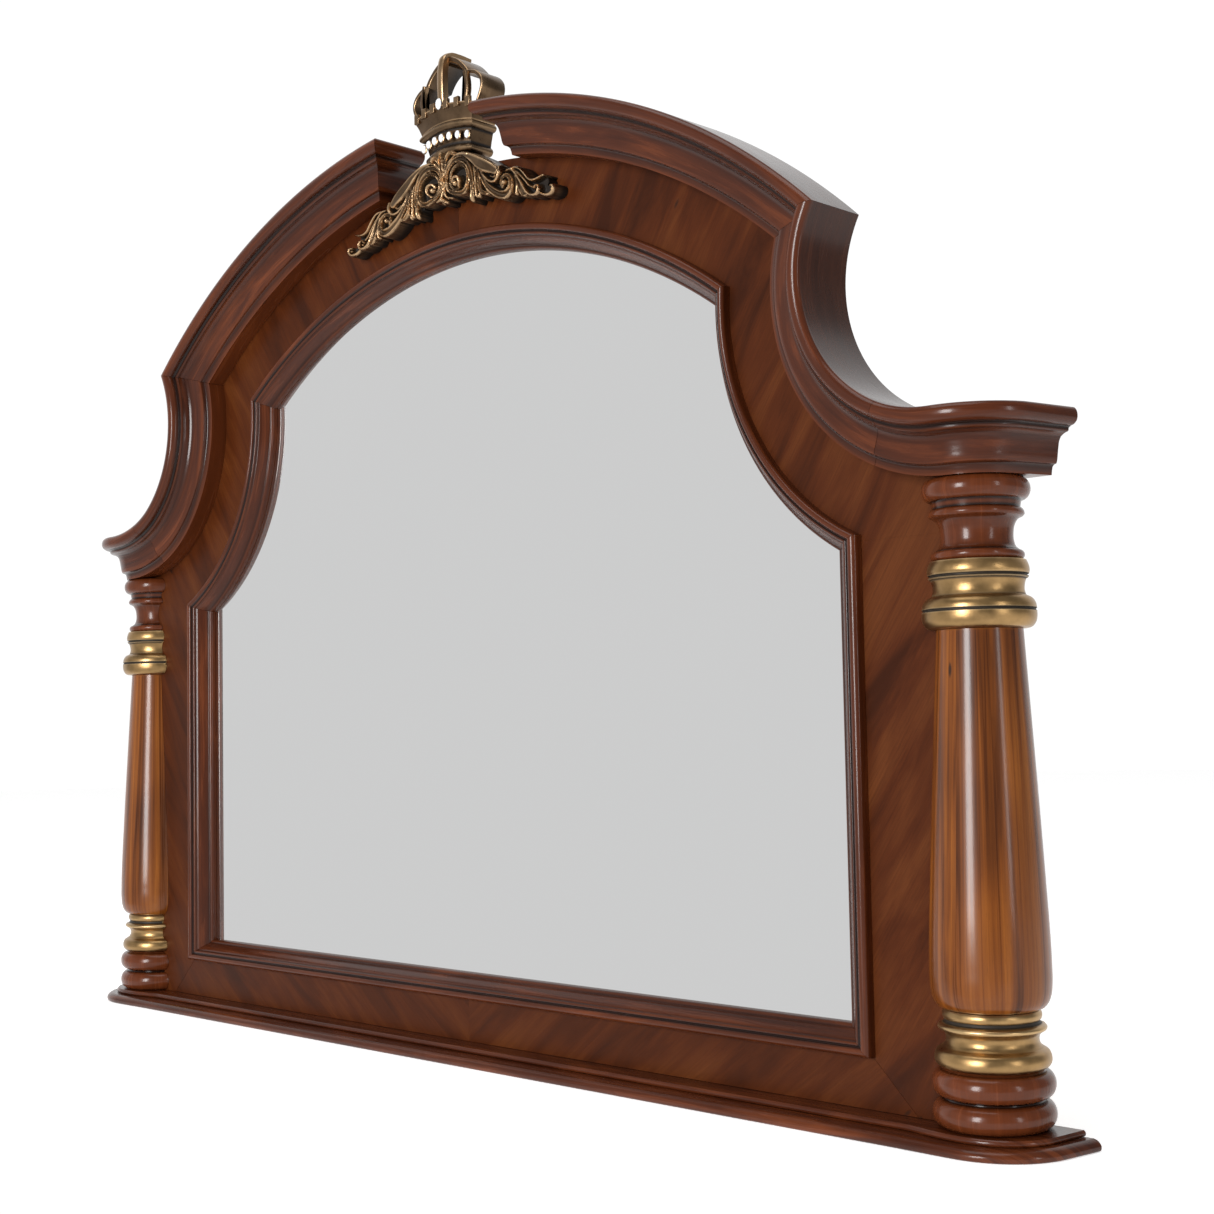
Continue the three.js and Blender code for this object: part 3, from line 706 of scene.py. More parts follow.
# Section of the sight moulding: millimetres inward from its outer edge, and forward of the panel.
SIGHT_FRONT = runs(
    [(0.0, GAP), (0.0, 5.2)],
    [(0.2, 6.2), (0.6, 8.2), (2.4, 10.2), (4.8, 10.9), (7.4, 10.2), (8.9, 8.6)],
    [(9.3, 8.0), (10.3, 7.6)],
    [(10.8, 8.0), (12.2, 8.2), (13.6, 7.4), (14.4, 6.0)],
    [(14.8, 5.4), (16.4, 4.4), (18.2, 2.4), (20.4, -0.6), (22.6, -3.6), (24.6, -5.8)],
    [(25.2, -6.2), (26.4, -6.4), (27.8, -7.4), (28.6, -9.0), (SIGHT_WIDTH, -10.8)],
    step=0.6,
)
SIGHT_BACK = np.array([(SIGHT_WIDTH, -13.4), (PANEL_LAP, -13.4), (PANEL_LAP, GAP)])
SIGHT_SECTION = np.concatenate([SIGHT_FRONT, SIGHT_BACK])


def opening_at(inward):
    """Where the opening's edge lies, a given distance inward from the sight moulding's outer edge."""
    share = inward / SIGHT_WIDTH
    found = {key: mix(SIGHT[key], GLASS[key], share) for key in SIGHT}
    reach = np.sqrt(found["concave"] ** 2 - (HOLLOW[0] - found["side"]) ** 2)
    found["elbow"] = (found["side"], HOLLOW[1] - reach)
    found["peak"] = arch_meets(SIGHT_ARCH[1], found["arch"], HOLLOW, found["concave"])
    return found


OPENING = opening_at(SIGHT_SECTION[:, 0])


def sight_ring(x, z):
    return np.stack([np.broadcast_to(x, z.shape), -SIGHT_SECTION[:, 1], z], axis=1)


def sight_bottom():
    ends = [sight_ring(sign * (OPENING["side"] - GAP / 2), OPENING["bottom"]) for sign in (-1, 1)]
    return loft(ends, SIGHT_SECTION)


def sight_side():
    side, elbow = OPENING["elbow"]
    ends = [sight_ring(side, OPENING["bottom"] + GAP / 2), sight_ring(side, elbow - GAP / 2)]
    return loft(ends, SIGHT_SECTION)


def sight_concave():
    radius = OPENING["concave"]
    start = angle_to(HOLLOW, *OPENING["elbow"]) - GAP / 2 / radius
    end = angle_to(HOLLOW, *OPENING["peak"]) + GAP / 2 / radius
    turns = np.linspace(0, 1, 61)
    return loft([sight_ring(*on_circle(HOLLOW, radius, mix(start, end, t))) for t in turns], SIGHT_SECTION)


def sight_arch():
    radius = OPENING["arch"]
    start = angle_to(SIGHT_ARCH, *OPENING["peak"]) + GAP / 2 / radius
    turns = np.linspace(0, 1, 97)
    rings = [sight_ring(*on_circle(SIGHT_ARCH, radius, mix(start, math.pi - start, t))) for t in turns]
    return loft(rings, SIGHT_SECTION)


def opening_upper_half(inward):
    """The right half of the opening's outline above its lower elbow, up to the top centre."""
    o = opening_at(inward)
    peak = o["peak"]
    low_arc = arc(HOLLOW, o["concave"], angle_to(HOLLOW, *o["elbow"]), angle_to(HOLLOW, *peak), 36)
    top_arc = arc(SIGHT_ARCH, o["arch"], angle_to(SIGHT_ARCH, *peak), math.pi / 2, 40)
    return np.concatenate([low_arc[:-1], top_arc])


def fill_outline(inward):
    """The outline of a plate that fills the opening to a given distance from the sight's edge."""
    o = opening_at(inward)
    half = opening_upper_half(inward)
    other = half[:-1][::-1] * np.array([-1, 1])
    feet = [(-o["side"], o["bottom"]), (o["side"], o["bottom"])]
    return np.concatenate([feet, half, other])


PANEL_OPENING = opening_at(PANEL_LAP - GAP)
PANEL_FOOT = PLINTH_TOP + GAP
MITRE_X = PANEL_OPENING["side"] + PANEL_OPENING["bottom"] - PANEL_FOOT
RAIL_GRAIN = math.radians(38)
STILE_GRAIN = math.radians(57)


def panel_rail():
    """The bottom rail in one piece, its veneer matched at the centre line."""
    side, bottom = PANEL_OPENING["side"], PANEL_OPENING["bottom"]
    outline = [(0, PANEL_FOOT), (MITRE_X, PANEL_FOOT), (side, bottom), (0, bottom)]
    half = board(outline, 0, PANEL_BACK, edge=0.05, grain_angle=RAIL_GRAIN)
    return joined(half, half.mirrored())


def panel_stile():
    side, bottom = PANEL_OPENING["side"], PANEL_OPENING["bottom"]
    top = PANEL_OPENING["elbow"][1] + 0.9 * GAP
    outline = [
        (MITRE_X + GAP * 1.5, PANEL_FOOT), (PANEL_EDGE_X, PANEL_FOOT), (PANEL_EDGE_X, top), (side, top),
        (side, bottom + GAP * 1.5),
    ]
    return board(outline, 0, PANEL_BACK, edge=0.04, grain_angle=STILE_GRAIN)


def panel_head():
    outer = RABBET + 2 * GAP
    inner = opening_upper_half(PANEL_LAP - GAP)
    radii = ARCH_RADIUS - outer, SHOULDER_RADIUS + outer
    peak = arch_meets(ARCH[1], radii[0], SHOULDER, radii[1])
    edge_z = SHOULDER[1] - math.sqrt(radii[1] ** 2 - (SHOULDER[0] - PANEL_EDGE_X) ** 2)
    foot = PANEL_OPENING["elbow"][1] + GAP
    top = arc(ARCH, radii[0], math.pi / 2, angle_to(ARCH, *peak), 40)[:-1]
    hollow = (angle_to(SHOULDER, *peak), angle_to(SHOULDER, PANEL_EDGE_X, edge_z))
    outline = np.concatenate([inner, top, arc(SHOULDER, radii[1], *hollow, 40), [(PANEL_EDGE_X, foot)]])
    outline = np.stack([np.maximum(outline[:, 0], GAP / 2), np.maximum(outline[:, 1], foot)], axis=1)
    apart = np.linalg.norm(outline - np.roll(outline, 1, axis=0), axis=1)
    return board(outline[apart > 0.2], 0, PANEL_BACK, edge=0.05, grain_angle=STILE_GRAIN)


# ---- Plinth ----


def plinth_plan(front_y, front_radius, side_radius, back_x, grow):
    """The plinth's plan: a straight front that swells round each column's foot."""
    swell_y = COLUMN[1] - front_radius
    x = np.linspace(*SWELL, 25)
    front = np.stack([x, mix(front_y, swell_y, ease(x, *SWELL)) - grow], axis=1)
    turn = np.linspace(0, SWELL_TURN, 33)
    radius = mix(front_radius, side_radius, np.sin(turn) ** 2) + grow
    corner = np.stack([COLUMN[0] + radius * np.sin(turn), COLUMN[1] - radius * np.cos(turn)], axis=1)
    half = np.concatenate([front, corner, [(back_x + grow, PLINTH_BACK)]])
    return np.concatenate([half[::-1] * np.array([-1, 1]), half])


def plinth_layer(levels, *plan):
    """A layer of the plinth through (height, growth) levels, with its grain running across."""
    outline = plinth_plan(*plan, 0)
    height = np.ones(len(outline))
    rings = [np.column_stack([plinth_plan(*plan, grow), z * height]) for z, grow in smooth(levels, 0.5)]
    piece = loft(rings, outline)
    points = piece.points
    piece.grain = [
        [(points[i][0] * MM, (points[i][1] + points[i][2]) * MM) for i in face] for face in piece.faces
    ]
    piece.glaze_and_shade = np.zeros(len(points))
    piece.wear_and_highlight = np.zeros(len(points))
    return piece


def plinth_base():
    top = STEP_BOTTOM - GAP
    levels = [(0.0, -1.6), (0.8, -0.4), (2.2, 0.2), (4.4, 0.3), (6.6, -0.9), (8.6, -3.2), (top, -6)]
    return plinth_layer(levels, -46.8, 64.8, 71.0, 702.0)


def plinth_step():
    levels = [(STEP_BOTTOM, -0.8), (STEP_BOTTOM + 0.8, 0), (PLINTH_TOP - 1.6, 0.1), (PLINTH_TOP, -1.2)]
    return plinth_layer(levels, -26.0, 51.3, 59.5, 688.5)


# ---- Columns: radius and height of each turned profile, from the bottom up ----

COLUMN_FOOT = np.concatenate([
    bulge(PLINTH_TOP + GAP, 37.6, 49.8, 9), runs([(40.6, 37.9), (40.4, 38.6), (41.6, 39.6)]),
    bulge(40, 61.2, 49.8, 8), [(41.4, 61.6), (40, 63)],
])
LOWER_COLLAR = runs(
    [(40.5, 63.3), (44.6, 64.6), (46.8, 68.0), (47, 72.0), (45.2, 76.6), (41.4, 79.2)],
    [(40.4, 79.6), (38.2, 82.4), (37.4, 86), (38.1, 89.6), (40.6, 92.4)],
    [(41.8, 92.8), (43.6, 94.2), (43.9, 96.0), (42.4, 97.8)],
    [(40.2, 98.4), (38.6, 99.4), (38.3, 101.4)],
    [(39.4, 102.4), (40.1, 104.6), (39.8, 107.4), (38.6, 109.4)],
)
SHAFT = runs(
    [
        (37.5, 109.7), (42.6, 111.6), (45.8, 115.2), (48.0, 121), (49.2, 131), (49.3, 146), (48.6, 172),
        (46.8, 210), (43.2, 280), (39.6, 345), (36.8, 395), (35.5, 418.5),
    ],
    step=2.0,
)
UPPER_COLLAR = runs(
    [(36.5, 418.8), (42.8, 420.2), (46.0, 424.4), (47.0, 429.6), (46.9, 433.2)],
    [(46.0, 433.8), (45.9, 434.8)],
    [(46.8, 435.2), (46.3, 439.0), (43.6, 443.6), (39.4, 446.0)],
    [(38.4, 446.6), (37.5, 450.0), (37.6, 455.0), (39.0, 460.2)],
    [(40.4, 460.6), (41.2, 461.8)],
    [(39.9, 462.4), (39.9, 463.4)],
    [(41.2, 463.8), (41.9, 466.4), (41.4, 470.6), (39.6, 475.2)],
)
NECK = np.concatenate([
    bulge(475.5, 483.6, 38.5, 4),
    runs([(34.4, 484.0), (31.8, 486.4), (30.2, 491), (29.9, 498), (31.2, 505), (34.0, 509.6), (36.6, 511.2)]),
    runs([(37.8, 511.6), (39.3, 513.4), (38.8, 516.2), (37.0, 518.4)]),
    runs([(36.0, 518.8), (36.4, 521.4), (36.9, 524.4)]),
    bulge(525, 543.7, 44.8, 7.5),
])
BORE = 5.3
TURNED_SIDES = 112
TURNED_REACH = 80.0
TURNED_LIGHTENING = 0.9


def lathe(profile, least_lightening):
    """A turned piece round the tie rod."""
    outline = np.concatenate([[(BORE, profile[0][1])], profile, [(BORE, profile[-1][1])]])
    radius, z = outline.T
    turns = np.linspace(0, 2 * math.pi, TURNED_SIDES, endpoint=False)
    rings = [
        np.stack([COLUMN[0] + radius * math.sin(turn), COLUMN[1] - radius * math.cos(turn), z], axis=1)
        for turn in turns
    ]
    rise = lengths_along(looped(outline)) * MM
    sweep = 2 * math.pi * radius.max() * MM / TURNED_SIDES
    faces = skin(TURNED_SIDES, len(outline), wrap=True)
    grain = unrolled(np.arange(TURNED_SIDES + 1) * sweep, rise)
    grain = [[(along, around) for around, along in corners] for corners in grain]
    glaze_and_shade, wear_and_highlight = groove_and_edge(outline)
    # Turned mahogany is made lighter all over by raising the edge mask to this floor.
    wear_and_highlight = np.maximum(wear_and_highlight, least_lightening)
    glaze_and_shade, wear_and_highlight = (np.tile(values, TURNED_SIDES) for values in (glaze_and_shade, wear_and_highlight))
    return Piece().add(np.concatenate(rings), faces, grain, glaze_and_shade, wear_and_highlight)


def cutter(corners):
    piece = block(*corners, edge=0.01)
    mesh = bpy.data.meshes.new("cutter")
    mesh.from_pydata((piece.points * MM).tolist(), [], piece.faces)
    thing = bpy.data.objects.new("cutter", mesh)
    bpy.context.scene.collection.objects.link(thing)
    return thing


def cut_away(thing, *boxes):
    """Takes boxes out of an object's mesh."""
    for corners in boxes:
        tool = cutter(corners)
        change = thing.modifiers.new("cut", "BOOLEAN")
        change.operation = "DIFFERENCE"
        change.solver = "EXACT"
        change.object = tool
        bpy.context.view_layer.update()
        cut = bpy.data.meshes.new_from_object(thing.evaluated_get(bpy.context.evaluated_depsgraph_get()))
        thing.modifiers.clear()
        old = thing.data
        thing.data = cut
        bpy.data.meshes.remove(old)
        bpy.data.objects.remove(tool)


def turning(name, profile, slot):
    """A turned piece on each side, notched over the panel's edge and planed flat at the back."""
    piece = lathe(profile, TURNED_LIGHTENING if slot == "mahogany" else 0.0)
    bottom, top = profile[0][1] - 5, profile[-1][1] + 5
    near, edge, far = COLUMN[0] - TURNED_REACH, PANEL_EDGE_X + GAP, COLUMN[0] + TURNED_REACH
    for side, half in (("right", piece), ("left", piece.mirrored())):
        sign = 1 if side == "right" else -1
        thing = place(f"{name}_{side}", half, slot, f"{name}_{side}")
        notch = (*sorted((sign * near, sign * edge)), -GAP, PANEL_BACK + GAP)
        planed = (*sorted((sign * near, sign * far)), PLINTH_BACK - GAP, PLINTH_BACK + 40)
        cut_away(thing, (*notch, bottom, top), (*planed, bottom, top))


# ---- Crest ----

RECESS_Y = -13.0
CELL = 0.55


def distances(px, pz, curve):
    """Distance from each grid point to a curve, with the curve's width and height at the nearest place."""
    best = np.full(px.shape, 1e9)
    width = np.ones(px.shape)
    tall = np.zeros(px.shape)
    for a, b in zip(curve[:-1], curve[1:]):
        step = b[:2] - a[:2]
        t = np.clip(((px - a[0]) * step[0] + (pz - a[1]) * step[1]) / max(step @ step, 1e-9), 0, 1)
        gap = np.hypot(px - a[0] - t * step[0], pz - a[1] - t * step[1])
        nearer = gap < best
        best = np.where(nearer, gap, best)
        width = np.where(nearer, mix(a[2], b[2], t), width)
        tall = np.where(nearer, mix(a[3], b[3], t), tall)
    return best, width, tall


def round_top(t):
    return np.sqrt(np.clip(1 - t ** 2.4, 0, 1))


def gouged(t):
    """A strip with raised rims and a hollow middle."""
    return (0.62 + 0.38 * np.clip(t / 0.72, 0, 1) ** 2.2) * np.sqrt(np.clip(1 - t ** 9, 0, 1))


def trough(t):
    """A broad leaf, only slightly hollow."""
    return (0.94 + 0.06 * np.clip(t / 0.8, 0, 1) ** 2) * np.sqrt(np.clip(1 - t ** 9, 0, 1))


def ball(t):
    return np.sqrt(np.clip(1 - t ** 2, 0, 1))


SHAPES = {"round": round_top, "gouge": gouged, "trough": trough, "ball": ball}


def blurred(grid, own):
    """Each cell mixed with its four neighbours, keeping a share of its own value."""
    padded = np.pad(grid, 1, mode="edge")
    around = padded[:-2, 1:-1] + padded[2:, 1:-1] + padded[1:-1, :-2] + padded[1:-1, 2:]
    return grid * own + around * (1 - own) / 4


def relief(strokes, backing, x_range, z_range, recess_y, back_y):
    """A carving in relief. Each stroke is a shape and a curve of (x, z, half width, height) points, and
    backing is a list of (x, z, half width) curves that fill the ground between them."""
    xs = np.arange(x_range[0], x_range[1] + CELL, CELL)
    zs = np.arange(z_range[0], z_range[1] + CELL, CELL)
    px, pz = np.meshgrid(xs, zs, indexing="ij")
    height = np.zeros(px.shape)
    outside = np.full(px.shape, 50.0)
    for shape, points in strokes:
        curve = smooth(points, 1.5)
        gap, width, tall = distances(px, pz, curve)
        t = gap / width
        height = np.maximum(height, np.where(t < 1, tall * SHAPES[shape](np.minimum(t, 1)), 0))
        outside = np.minimum(outside, gap - width)
    for points in backing:
        curve = smooth([(x, z, width, 0.0) for x, z, width in points], 2.0)
        gap, width, _ = distances(px, pz, curve)
        outside = np.minimum(outside, gap - width)
    for _ in range(2):
        height = blurred(height, 0.5)
    wide = height
    for _ in range(24):
        wide = blurred(wide, 0)
    return relief_mesh(px, pz, height, outside, height - wide, recess_y, back_y)


def relief_mesh(px, pz, height, outside, relative, recess_y, back_y):
    """The closed mesh of a relief: a carved front, a flat back, and walls on its outline."""
    slope_x, slope_z = np.gradient(outside, CELL)
    inside = outside < 0.25 * CELL
    whole = inside[:-1, :-1] & inside[1:, :-1] & inside[1:, 1:] & inside[:-1, 1:]
    full = np.zeros(px.shape, int)
    for dx in (0, 1):
        for dz in (0, 1):
            full[dx:px.shape[0] - 1 + dx, dz:px.shape[1] - 1 + dz] += whole
    used = full > 0
    steep = np.maximum(slope_x ** 2 + slope_z ** 2, 0.3)
    pull = np.where(used & (full < 4), np.clip(outside / steep, -CELL, CELL), 0)
    new_x = px - pull * slope_x
    new_x[0, :] = px[0, :]
    new_z = pz - pull * slope_z
    index = np.full(px.shape, -1)
    index[used] = np.arange(used.sum())
    count = int(used.sum())
    front = np.stack([new_x[used], recess_y - height[used], new_z[used]], axis=1)
    back = np.stack([new_x[used], np.full(count, back_y), new_z[used]], axis=1)
    i, j = np.nonzero(whole)
    quads = np.stack([index[i, j], index[i + 1, j], index[i + 1, j + 1], index[i, j + 1]], axis=1)
    edges = np.concatenate([quads[:, [a, (a + 1) % 4]] for a in range(4)])
    keys = np.sort(edges, axis=1)
    _, first, times = np.unique(keys, axis=0, return_index=True, return_counts=True)
    border = edges[first[times == 1]]
    faces = [tuple(quad) for quad in quads.tolist()]
    faces += [tuple(c + count for c in reversed(quad)) for quad in quads.tolist()]
    faces += [(b, a, a + count, b + count) for a, b in border.tolist()]
    points = np.concatenate([front, back])
    grain = [[(points[c][0] * MM, points[c][2] * MM) for c in face] for face in faces]
    # Painted shade darkens the low ground, the hollows and, through back points set fully dark, the side
    # walls; raised parts get wear and painted highlight.
    low_ground = np.clip(1 - height[used] / 3.0, 0, 1)
    glaze_and_shade = np.maximum(np.clip(-relative[used] / 3.0, 0, 1), low_ground)
    wear_and_highlight = np.clip(relative[used] / 2.4, 0, 1)
    glaze_and_shade, wear_and_highlight = np.append(glaze_and_shade, np.ones(count)), np.append(wear_and_highlight, np.zeros(count))
    return Piece().add(points, faces, grain, glaze_and_shade, wear_and_highlight)


SCROLL_STROKES = [
    # The large volute: an outer band, an inner band that winds in, and its ball eye.
    ("gouge", [
        (46.5, 905, 2.4, 8.5), (45.6, 911, 3, 9.5), (46.2, 918, 3, 10), (45, 926, 3, 10.5),
        (42.4, 935, 3.2, 11), (37.4, 942.6, 3.3, 11), (30, 947.4, 3.3, 11), (21.5, 948.6, 3.2, 11),
        (13, 946.4, 3, 10.5), (6.8, 941, 2.8, 10), (3.6, 933.5, 2.6, 9.5), (3.2, 926, 2.4, 9),
    ]),
    ("gouge", [
        (3.4, 927.5, 1.8, 8), (5, 921.6, 2.2, 9), (9.2, 917.4, 2.5, 9.5), (15.5, 914.4, 2.7, 10),
        (22.5, 912.2, 2.8, 10.5), (29.5, 911, 2.9, 11), (35.6, 912.6, 3, 11.5), (39.4, 917.4, 3, 11.5),
        (40.6, 924, 2.9, 11), (39.8, 931, 2.7, 10.5), (36.6, 937.4, 2.5, 10), (30.6, 941.6, 2.4, 9.5),
        (23, 942.8, 2.3, 9.5), (15.6, 940.8, 2.2, 9), (10.8, 936, 2.1, 8.5), (8.8, 929.6, 2, 8),
        (10.2, 923.6, 1.9, 8), (14.2, 919, 1.8, 8), (19.4, 917.6, 1.6, 8), (24.4, 918.8, 1.4, 8.5),
    ]),
    ("round", [
        (14, 926.5, 2, 9), (18, 930, 2.3, 11), (23, 929.6, 2.6, 12), (26.2, 926.4, 2.4, 11.5),
        (25.8, 922.2, 2, 10.5), (23.8, 919.4, 1.5, 9),
    ]),
    ("ball", [(18.4, 924, 4.4, 10.5), (18.9, 924.2, 4.4, 10.5)]),
    # The broad smooth shoulder leaf that sweeps out from under the crown and curls at its end.
    ("trough", [
        (24, 953.2, 1.8, 10), (32, 952.6, 2.4, 11), (41, 948.6, 3.6, 12), (50, 943.2, 5.2, 12.5),
        (60, 936.2, 6.8, 12.5), (69, 930.6, 7.2, 12.5), (77, 926.6, 6.2, 12), (84, 922.6, 4.8, 11),
    ]),
    ("round", [(13, 951.6, 1.4, 9), (22, 953.8, 1.6, 10.5), (32, 953, 1.7, 12), (42, 949.4, 1.8, 13)]),
    ("round", [
        (46, 942.6, 1.6, 11.5), (54, 935.2, 1.7, 12.5), (62, 929.4, 1.7, 13), (70, 925.6, 1.6, 12.5),
        (78, 922, 1.4, 11),
    ]),
    ("round", [
        (90, 925.4, 2, 11), (90.6, 919.6, 2.5, 12.5), (88.4, 914.4, 2.5, 12.5), (83.6, 911.6, 2.3, 11.5),
        (77.4, 912.2, 2.1, 10.5), (71.4, 915.4, 1.9, 10), (66, 920.4, 1.7, 9.5), (60.6, 927, 1.5, 9.5),
        (55.4, 934, 1.2, 9),
    ]),
    ("round", [(84, 920.6, 2.2, 8.5), (79, 917.4, 2.2, 7.5), (73, 919.6, 1.8, 7)]),
    # Leaf tongues that fan out under the volutes.
    ("round", [
        (47.6, 937, 1.2, 8.5), (50.4, 929, 1.7, 9.5), (51.6, 920, 1.9, 9.5), (51.8, 911, 2, 9.5),
        (52.6, 903.4, 2.9, 9),
    ]),
    ("round", [(45.6, 909, 2.6, 9.5), (44.6, 902.6, 3.4, 9.5), (44.4, 900.8, 3, 8.5)]),
    ("gouge", [
        (50.6, 935.6, 1.3, 9), (55, 926.6, 2.1, 10), (57, 917.6, 2.5, 10.5), (58.8, 909.6, 2.8, 11),
        (63, 904.6, 2.6, 11.5), (68, 902.2, 2.1, 11.5), (71.2, 902.4, 1.5, 10.5),
    ]),
    ("round", [(57.4, 905.4, 1.8, 8), (55.6, 901.6, 2, 8)]),
    # The second volute, its long gouged stem and its eye.
    ("gouge", [
        (54.6, 932.4, 1.4, 8.5), (60, 922.8, 2.3, 9.5), (66.4, 913.6, 3.2, 10.5), (74, 905.8, 4, 11),
        (82.6, 899.6, 4.5, 11.5), (91.6, 895.2, 4.8, 12), (99.6, 893.8, 4.7, 12.5),
        (105.2, 896.8, 4.2, 12.5), (107.4, 902.8, 3.6, 12), (106, 909, 3.1, 11.5), (101.4, 913.2, 2.7, 11),
        (95.6, 914, 2.5, 10.5), (91.6, 911, 2.3, 10), (90.6, 906.6, 2, 9.5), (92.6, 903.2, 1.8, 9.5),
    ]),
    ("ball", [(96.2, 907, 3.9, 11.5), (96.6, 907.2, 3.9, 11.5)]),
    # Leaves that run out to the tip, with a small curl.
    ("round", [
        (96, 919, 1.3, 8), (104, 919.4, 1.6, 9), (111, 914.6, 1.8, 9.5), (117, 907, 1.9, 9.5),
        (122, 899.6, 1.9, 9.5), (127, 892, 1.9, 9.5), (132.6, 886.8, 1.9, 9.5), (139, 884.9, 1.9, 9.5),
        (144.6, 885.6, 2, 10), (147, 889, 1.9, 10), (145.4, 893, 1.8, 9.5), (141.6, 894, 1.6, 9),
        (139.4, 891.6, 1.3, 8.5),
    ]),
    ("ball", [(142.4, 889.6, 1.9, 7), (142.7, 889.6, 1.9, 7)]),
    ("round", [
        (105, 918.6, 1.3, 7.5), (112, 916, 1.5, 7.8), (119, 910, 1.6, 8), (126, 902.6, 1.6, 8),
        (131.6, 896.4, 1.5, 8), (136.6, 893.6, 1.4, 8),
    ]),
    ("round", [
        (106, 920, 1.3, 9), (114, 919, 1.6, 9.5), (121, 914.6, 1.7, 9.5), (127, 908.4, 1.8, 9.5),
        (132, 903, 1.8, 9.5), (138, 900.6, 1.8, 9.5), (146, 900.8, 1.7, 9.5), (153, 902.4, 1.1, 9),
    ]),
    ("round", [(110, 913, 1.6, 7.5), (113, 905, 2.4, 8), (114, 897.6, 2.8, 8.5), (112.6, 892, 2.2, 8)]),
    ("gouge", [
        (113, 911, 1.6, 8), (117, 902, 2.6, 8.5), (120, 894.6, 3.2, 9.5), (124.4, 889, 2.8, 10),
        (128.4, 888.2, 1.7, 10.5),
    ]),
    ("round", [
        (146, 886, 2, 6.5), (151, 883.2, 2.1, 7), (157, 881.6, 2.1, 7.5), (163, 882, 2.1, 8),
        (166.8, 885.4, 2, 8.5), (166, 889.2, 1.9, 8.5), (162.6, 889.4, 1.5, 8),
    ]),
    ("ball", [(162.8, 886.2, 1.7, 7), (163, 886.2, 1.7, 7)]),
    # Lobes under the centre.
    ("round", [(1, 919.6, 1.8, 9), (2.6, 914.4, 2, 9.5), (6.6, 910.8, 1.9, 9.5), (12, 909.6, 1.3, 9)]),
    ("ball", [(2, 907.4, 2.4, 8), (2.2, 907.4, 2.4, 8)]),
]
SCROLL_BACKING = [
    [(2, 912, 4), (3, 930, 5), (10, 944, 7), (24, 943, 9), (38, 936, 9), (44, 920, 5), (46, 907, 4)],
    [(20, 928, 14), (30, 930, 14)],
    [(8, 916, 5), (24, 914, 4), (38, 914, 4)],
    [(44, 940, 7), (56, 932, 7), (70, 924, 6), (84, 918, 6)],
    [(52, 930, 6), (58, 914, 7), (70, 910, 7), (84, 905, 7), (98, 903, 10)],
    [(56, 908, 5), (66, 906, 3)],
    [
        (104, 906, 10), (114, 904, 9), (124, 898, 8), (134, 892, 6.5), (144, 890, 5.5), (156, 887, 4.5),
        (164, 885.5, 4),
    ],
    [(98, 912, 6), (110, 914, 4), (122, 908, 4), (136, 898, 3), (150, 897, 4)],
]


def centre_leaf_strokes():
    """The palmette that rises between the two volutes."""
    side = [
        (1.2, 936, 1.3, 8), (2.6, 944, 1.9, 9), (5.4, 951, 2.3, 10), (9.6, 956, 2.4, 11),
        (14.6, 957.6, 2.2, 11.5), (18, 955.6, 1.7, 10.5),
    ]
    low_side = [(1, 934, 1.2, 7), (4, 941, 1.6, 8), (8.4, 947.4, 1.7, 9), (13.4, 951, 1.5, 9)]
    middle = [
        (0, 916, 1.4, 9), (0, 926, 2, 9.5), (0, 936, 2.4, 10.5), (0, 946, 3.2, 12), (0, 954, 3.4, 13.5),
        (0, 959.5, 2, 13.5),
    ]
    strokes = []
    for sign in (-1, 1):
        for points in (side, low_side):
            strokes.append(("gouge", [(sign * x, z, w, h) for x, z, w, h in points]))
    return [*strokes, ("gouge", middle), ("ball", [(-0.2, 909, 2.9, 11), (0.2, 909, 2.9, 11)])]


CENTRE_BACKING = [
    [(0, 909, 2), (0, 930, 2), (0, 948, 5), (0, 952, 7)],
    [(-12, 953, 3), (0, 950, 4), (12, 953, 3)],
]

# ---- Crown ----

CORNER_SHARE = 0.7
GEM_Z = 972.5
GEM_Y = -17.2
GEM_ROW_HALF_WIDTH = 37.0


def crown_plan(grow, count=49):
    """Half-round plan of the crown, from its back left corner round the front to its back right."""
    corner_x, corner_y = CROWN_HALF_WIDTH + grow, CROWN_FRONT - grow * CORNER_SHARE
    x = np.linspace(-corner_x, corner_x, count)
    front = np.stack([x, corner_y - CROWN_BULGE * (1 - (x / corner_x) ** 2)], axis=1)
    y = np.linspace(CROWN_BACK, corner_y, 9)[:-1]
    left = np.stack([np.full(len(y), -corner_x), y], axis=1)
    right = left[::-1] * np.array([-1, 1])
    return np.concatenate([left, front, right])


def crown_lift(x):
    return CROWN_LIFT * (1 - (x / CROWN_HALF_WIDTH) ** 2)


def crown_ring(z, grow):
    """The crown's plan at a height, arched up over its middle."""
    flat = crown_plan(grow)
    return np.column_stack([flat, z + crown_lift(flat[:, 0])])


def crown_stack(levels):
    """A solid through (height, growth) levels of the crown's plan."""
    piece = loft([crown_ring(z, grow) for z, grow in levels], crown_plan(0))
    section = np.array([(grow, z) for z, grow in levels])
    glaze_and_shade, wear_and_highlight = groove_and_edge(np.concatenate([section, [(-60, levels[-1][0]), (-60, levels[0][0])]]))
    width = len(crown_plan(0))
    piece.glaze_and_shade = np.repeat(glaze_and_shade[:len(levels)], width)
    piece.wear_and_highlight = np.repeat(wear_and_highlight[:len(levels)], width)
    return piece


def joined(*pieces):
    whole = Piece()
    for piece in pieces:
        whole.add(piece.points, piece.faces, piece.grain, piece.glaze_and_shade, piece.wear_and_highlight, piece.flat)
    return whole


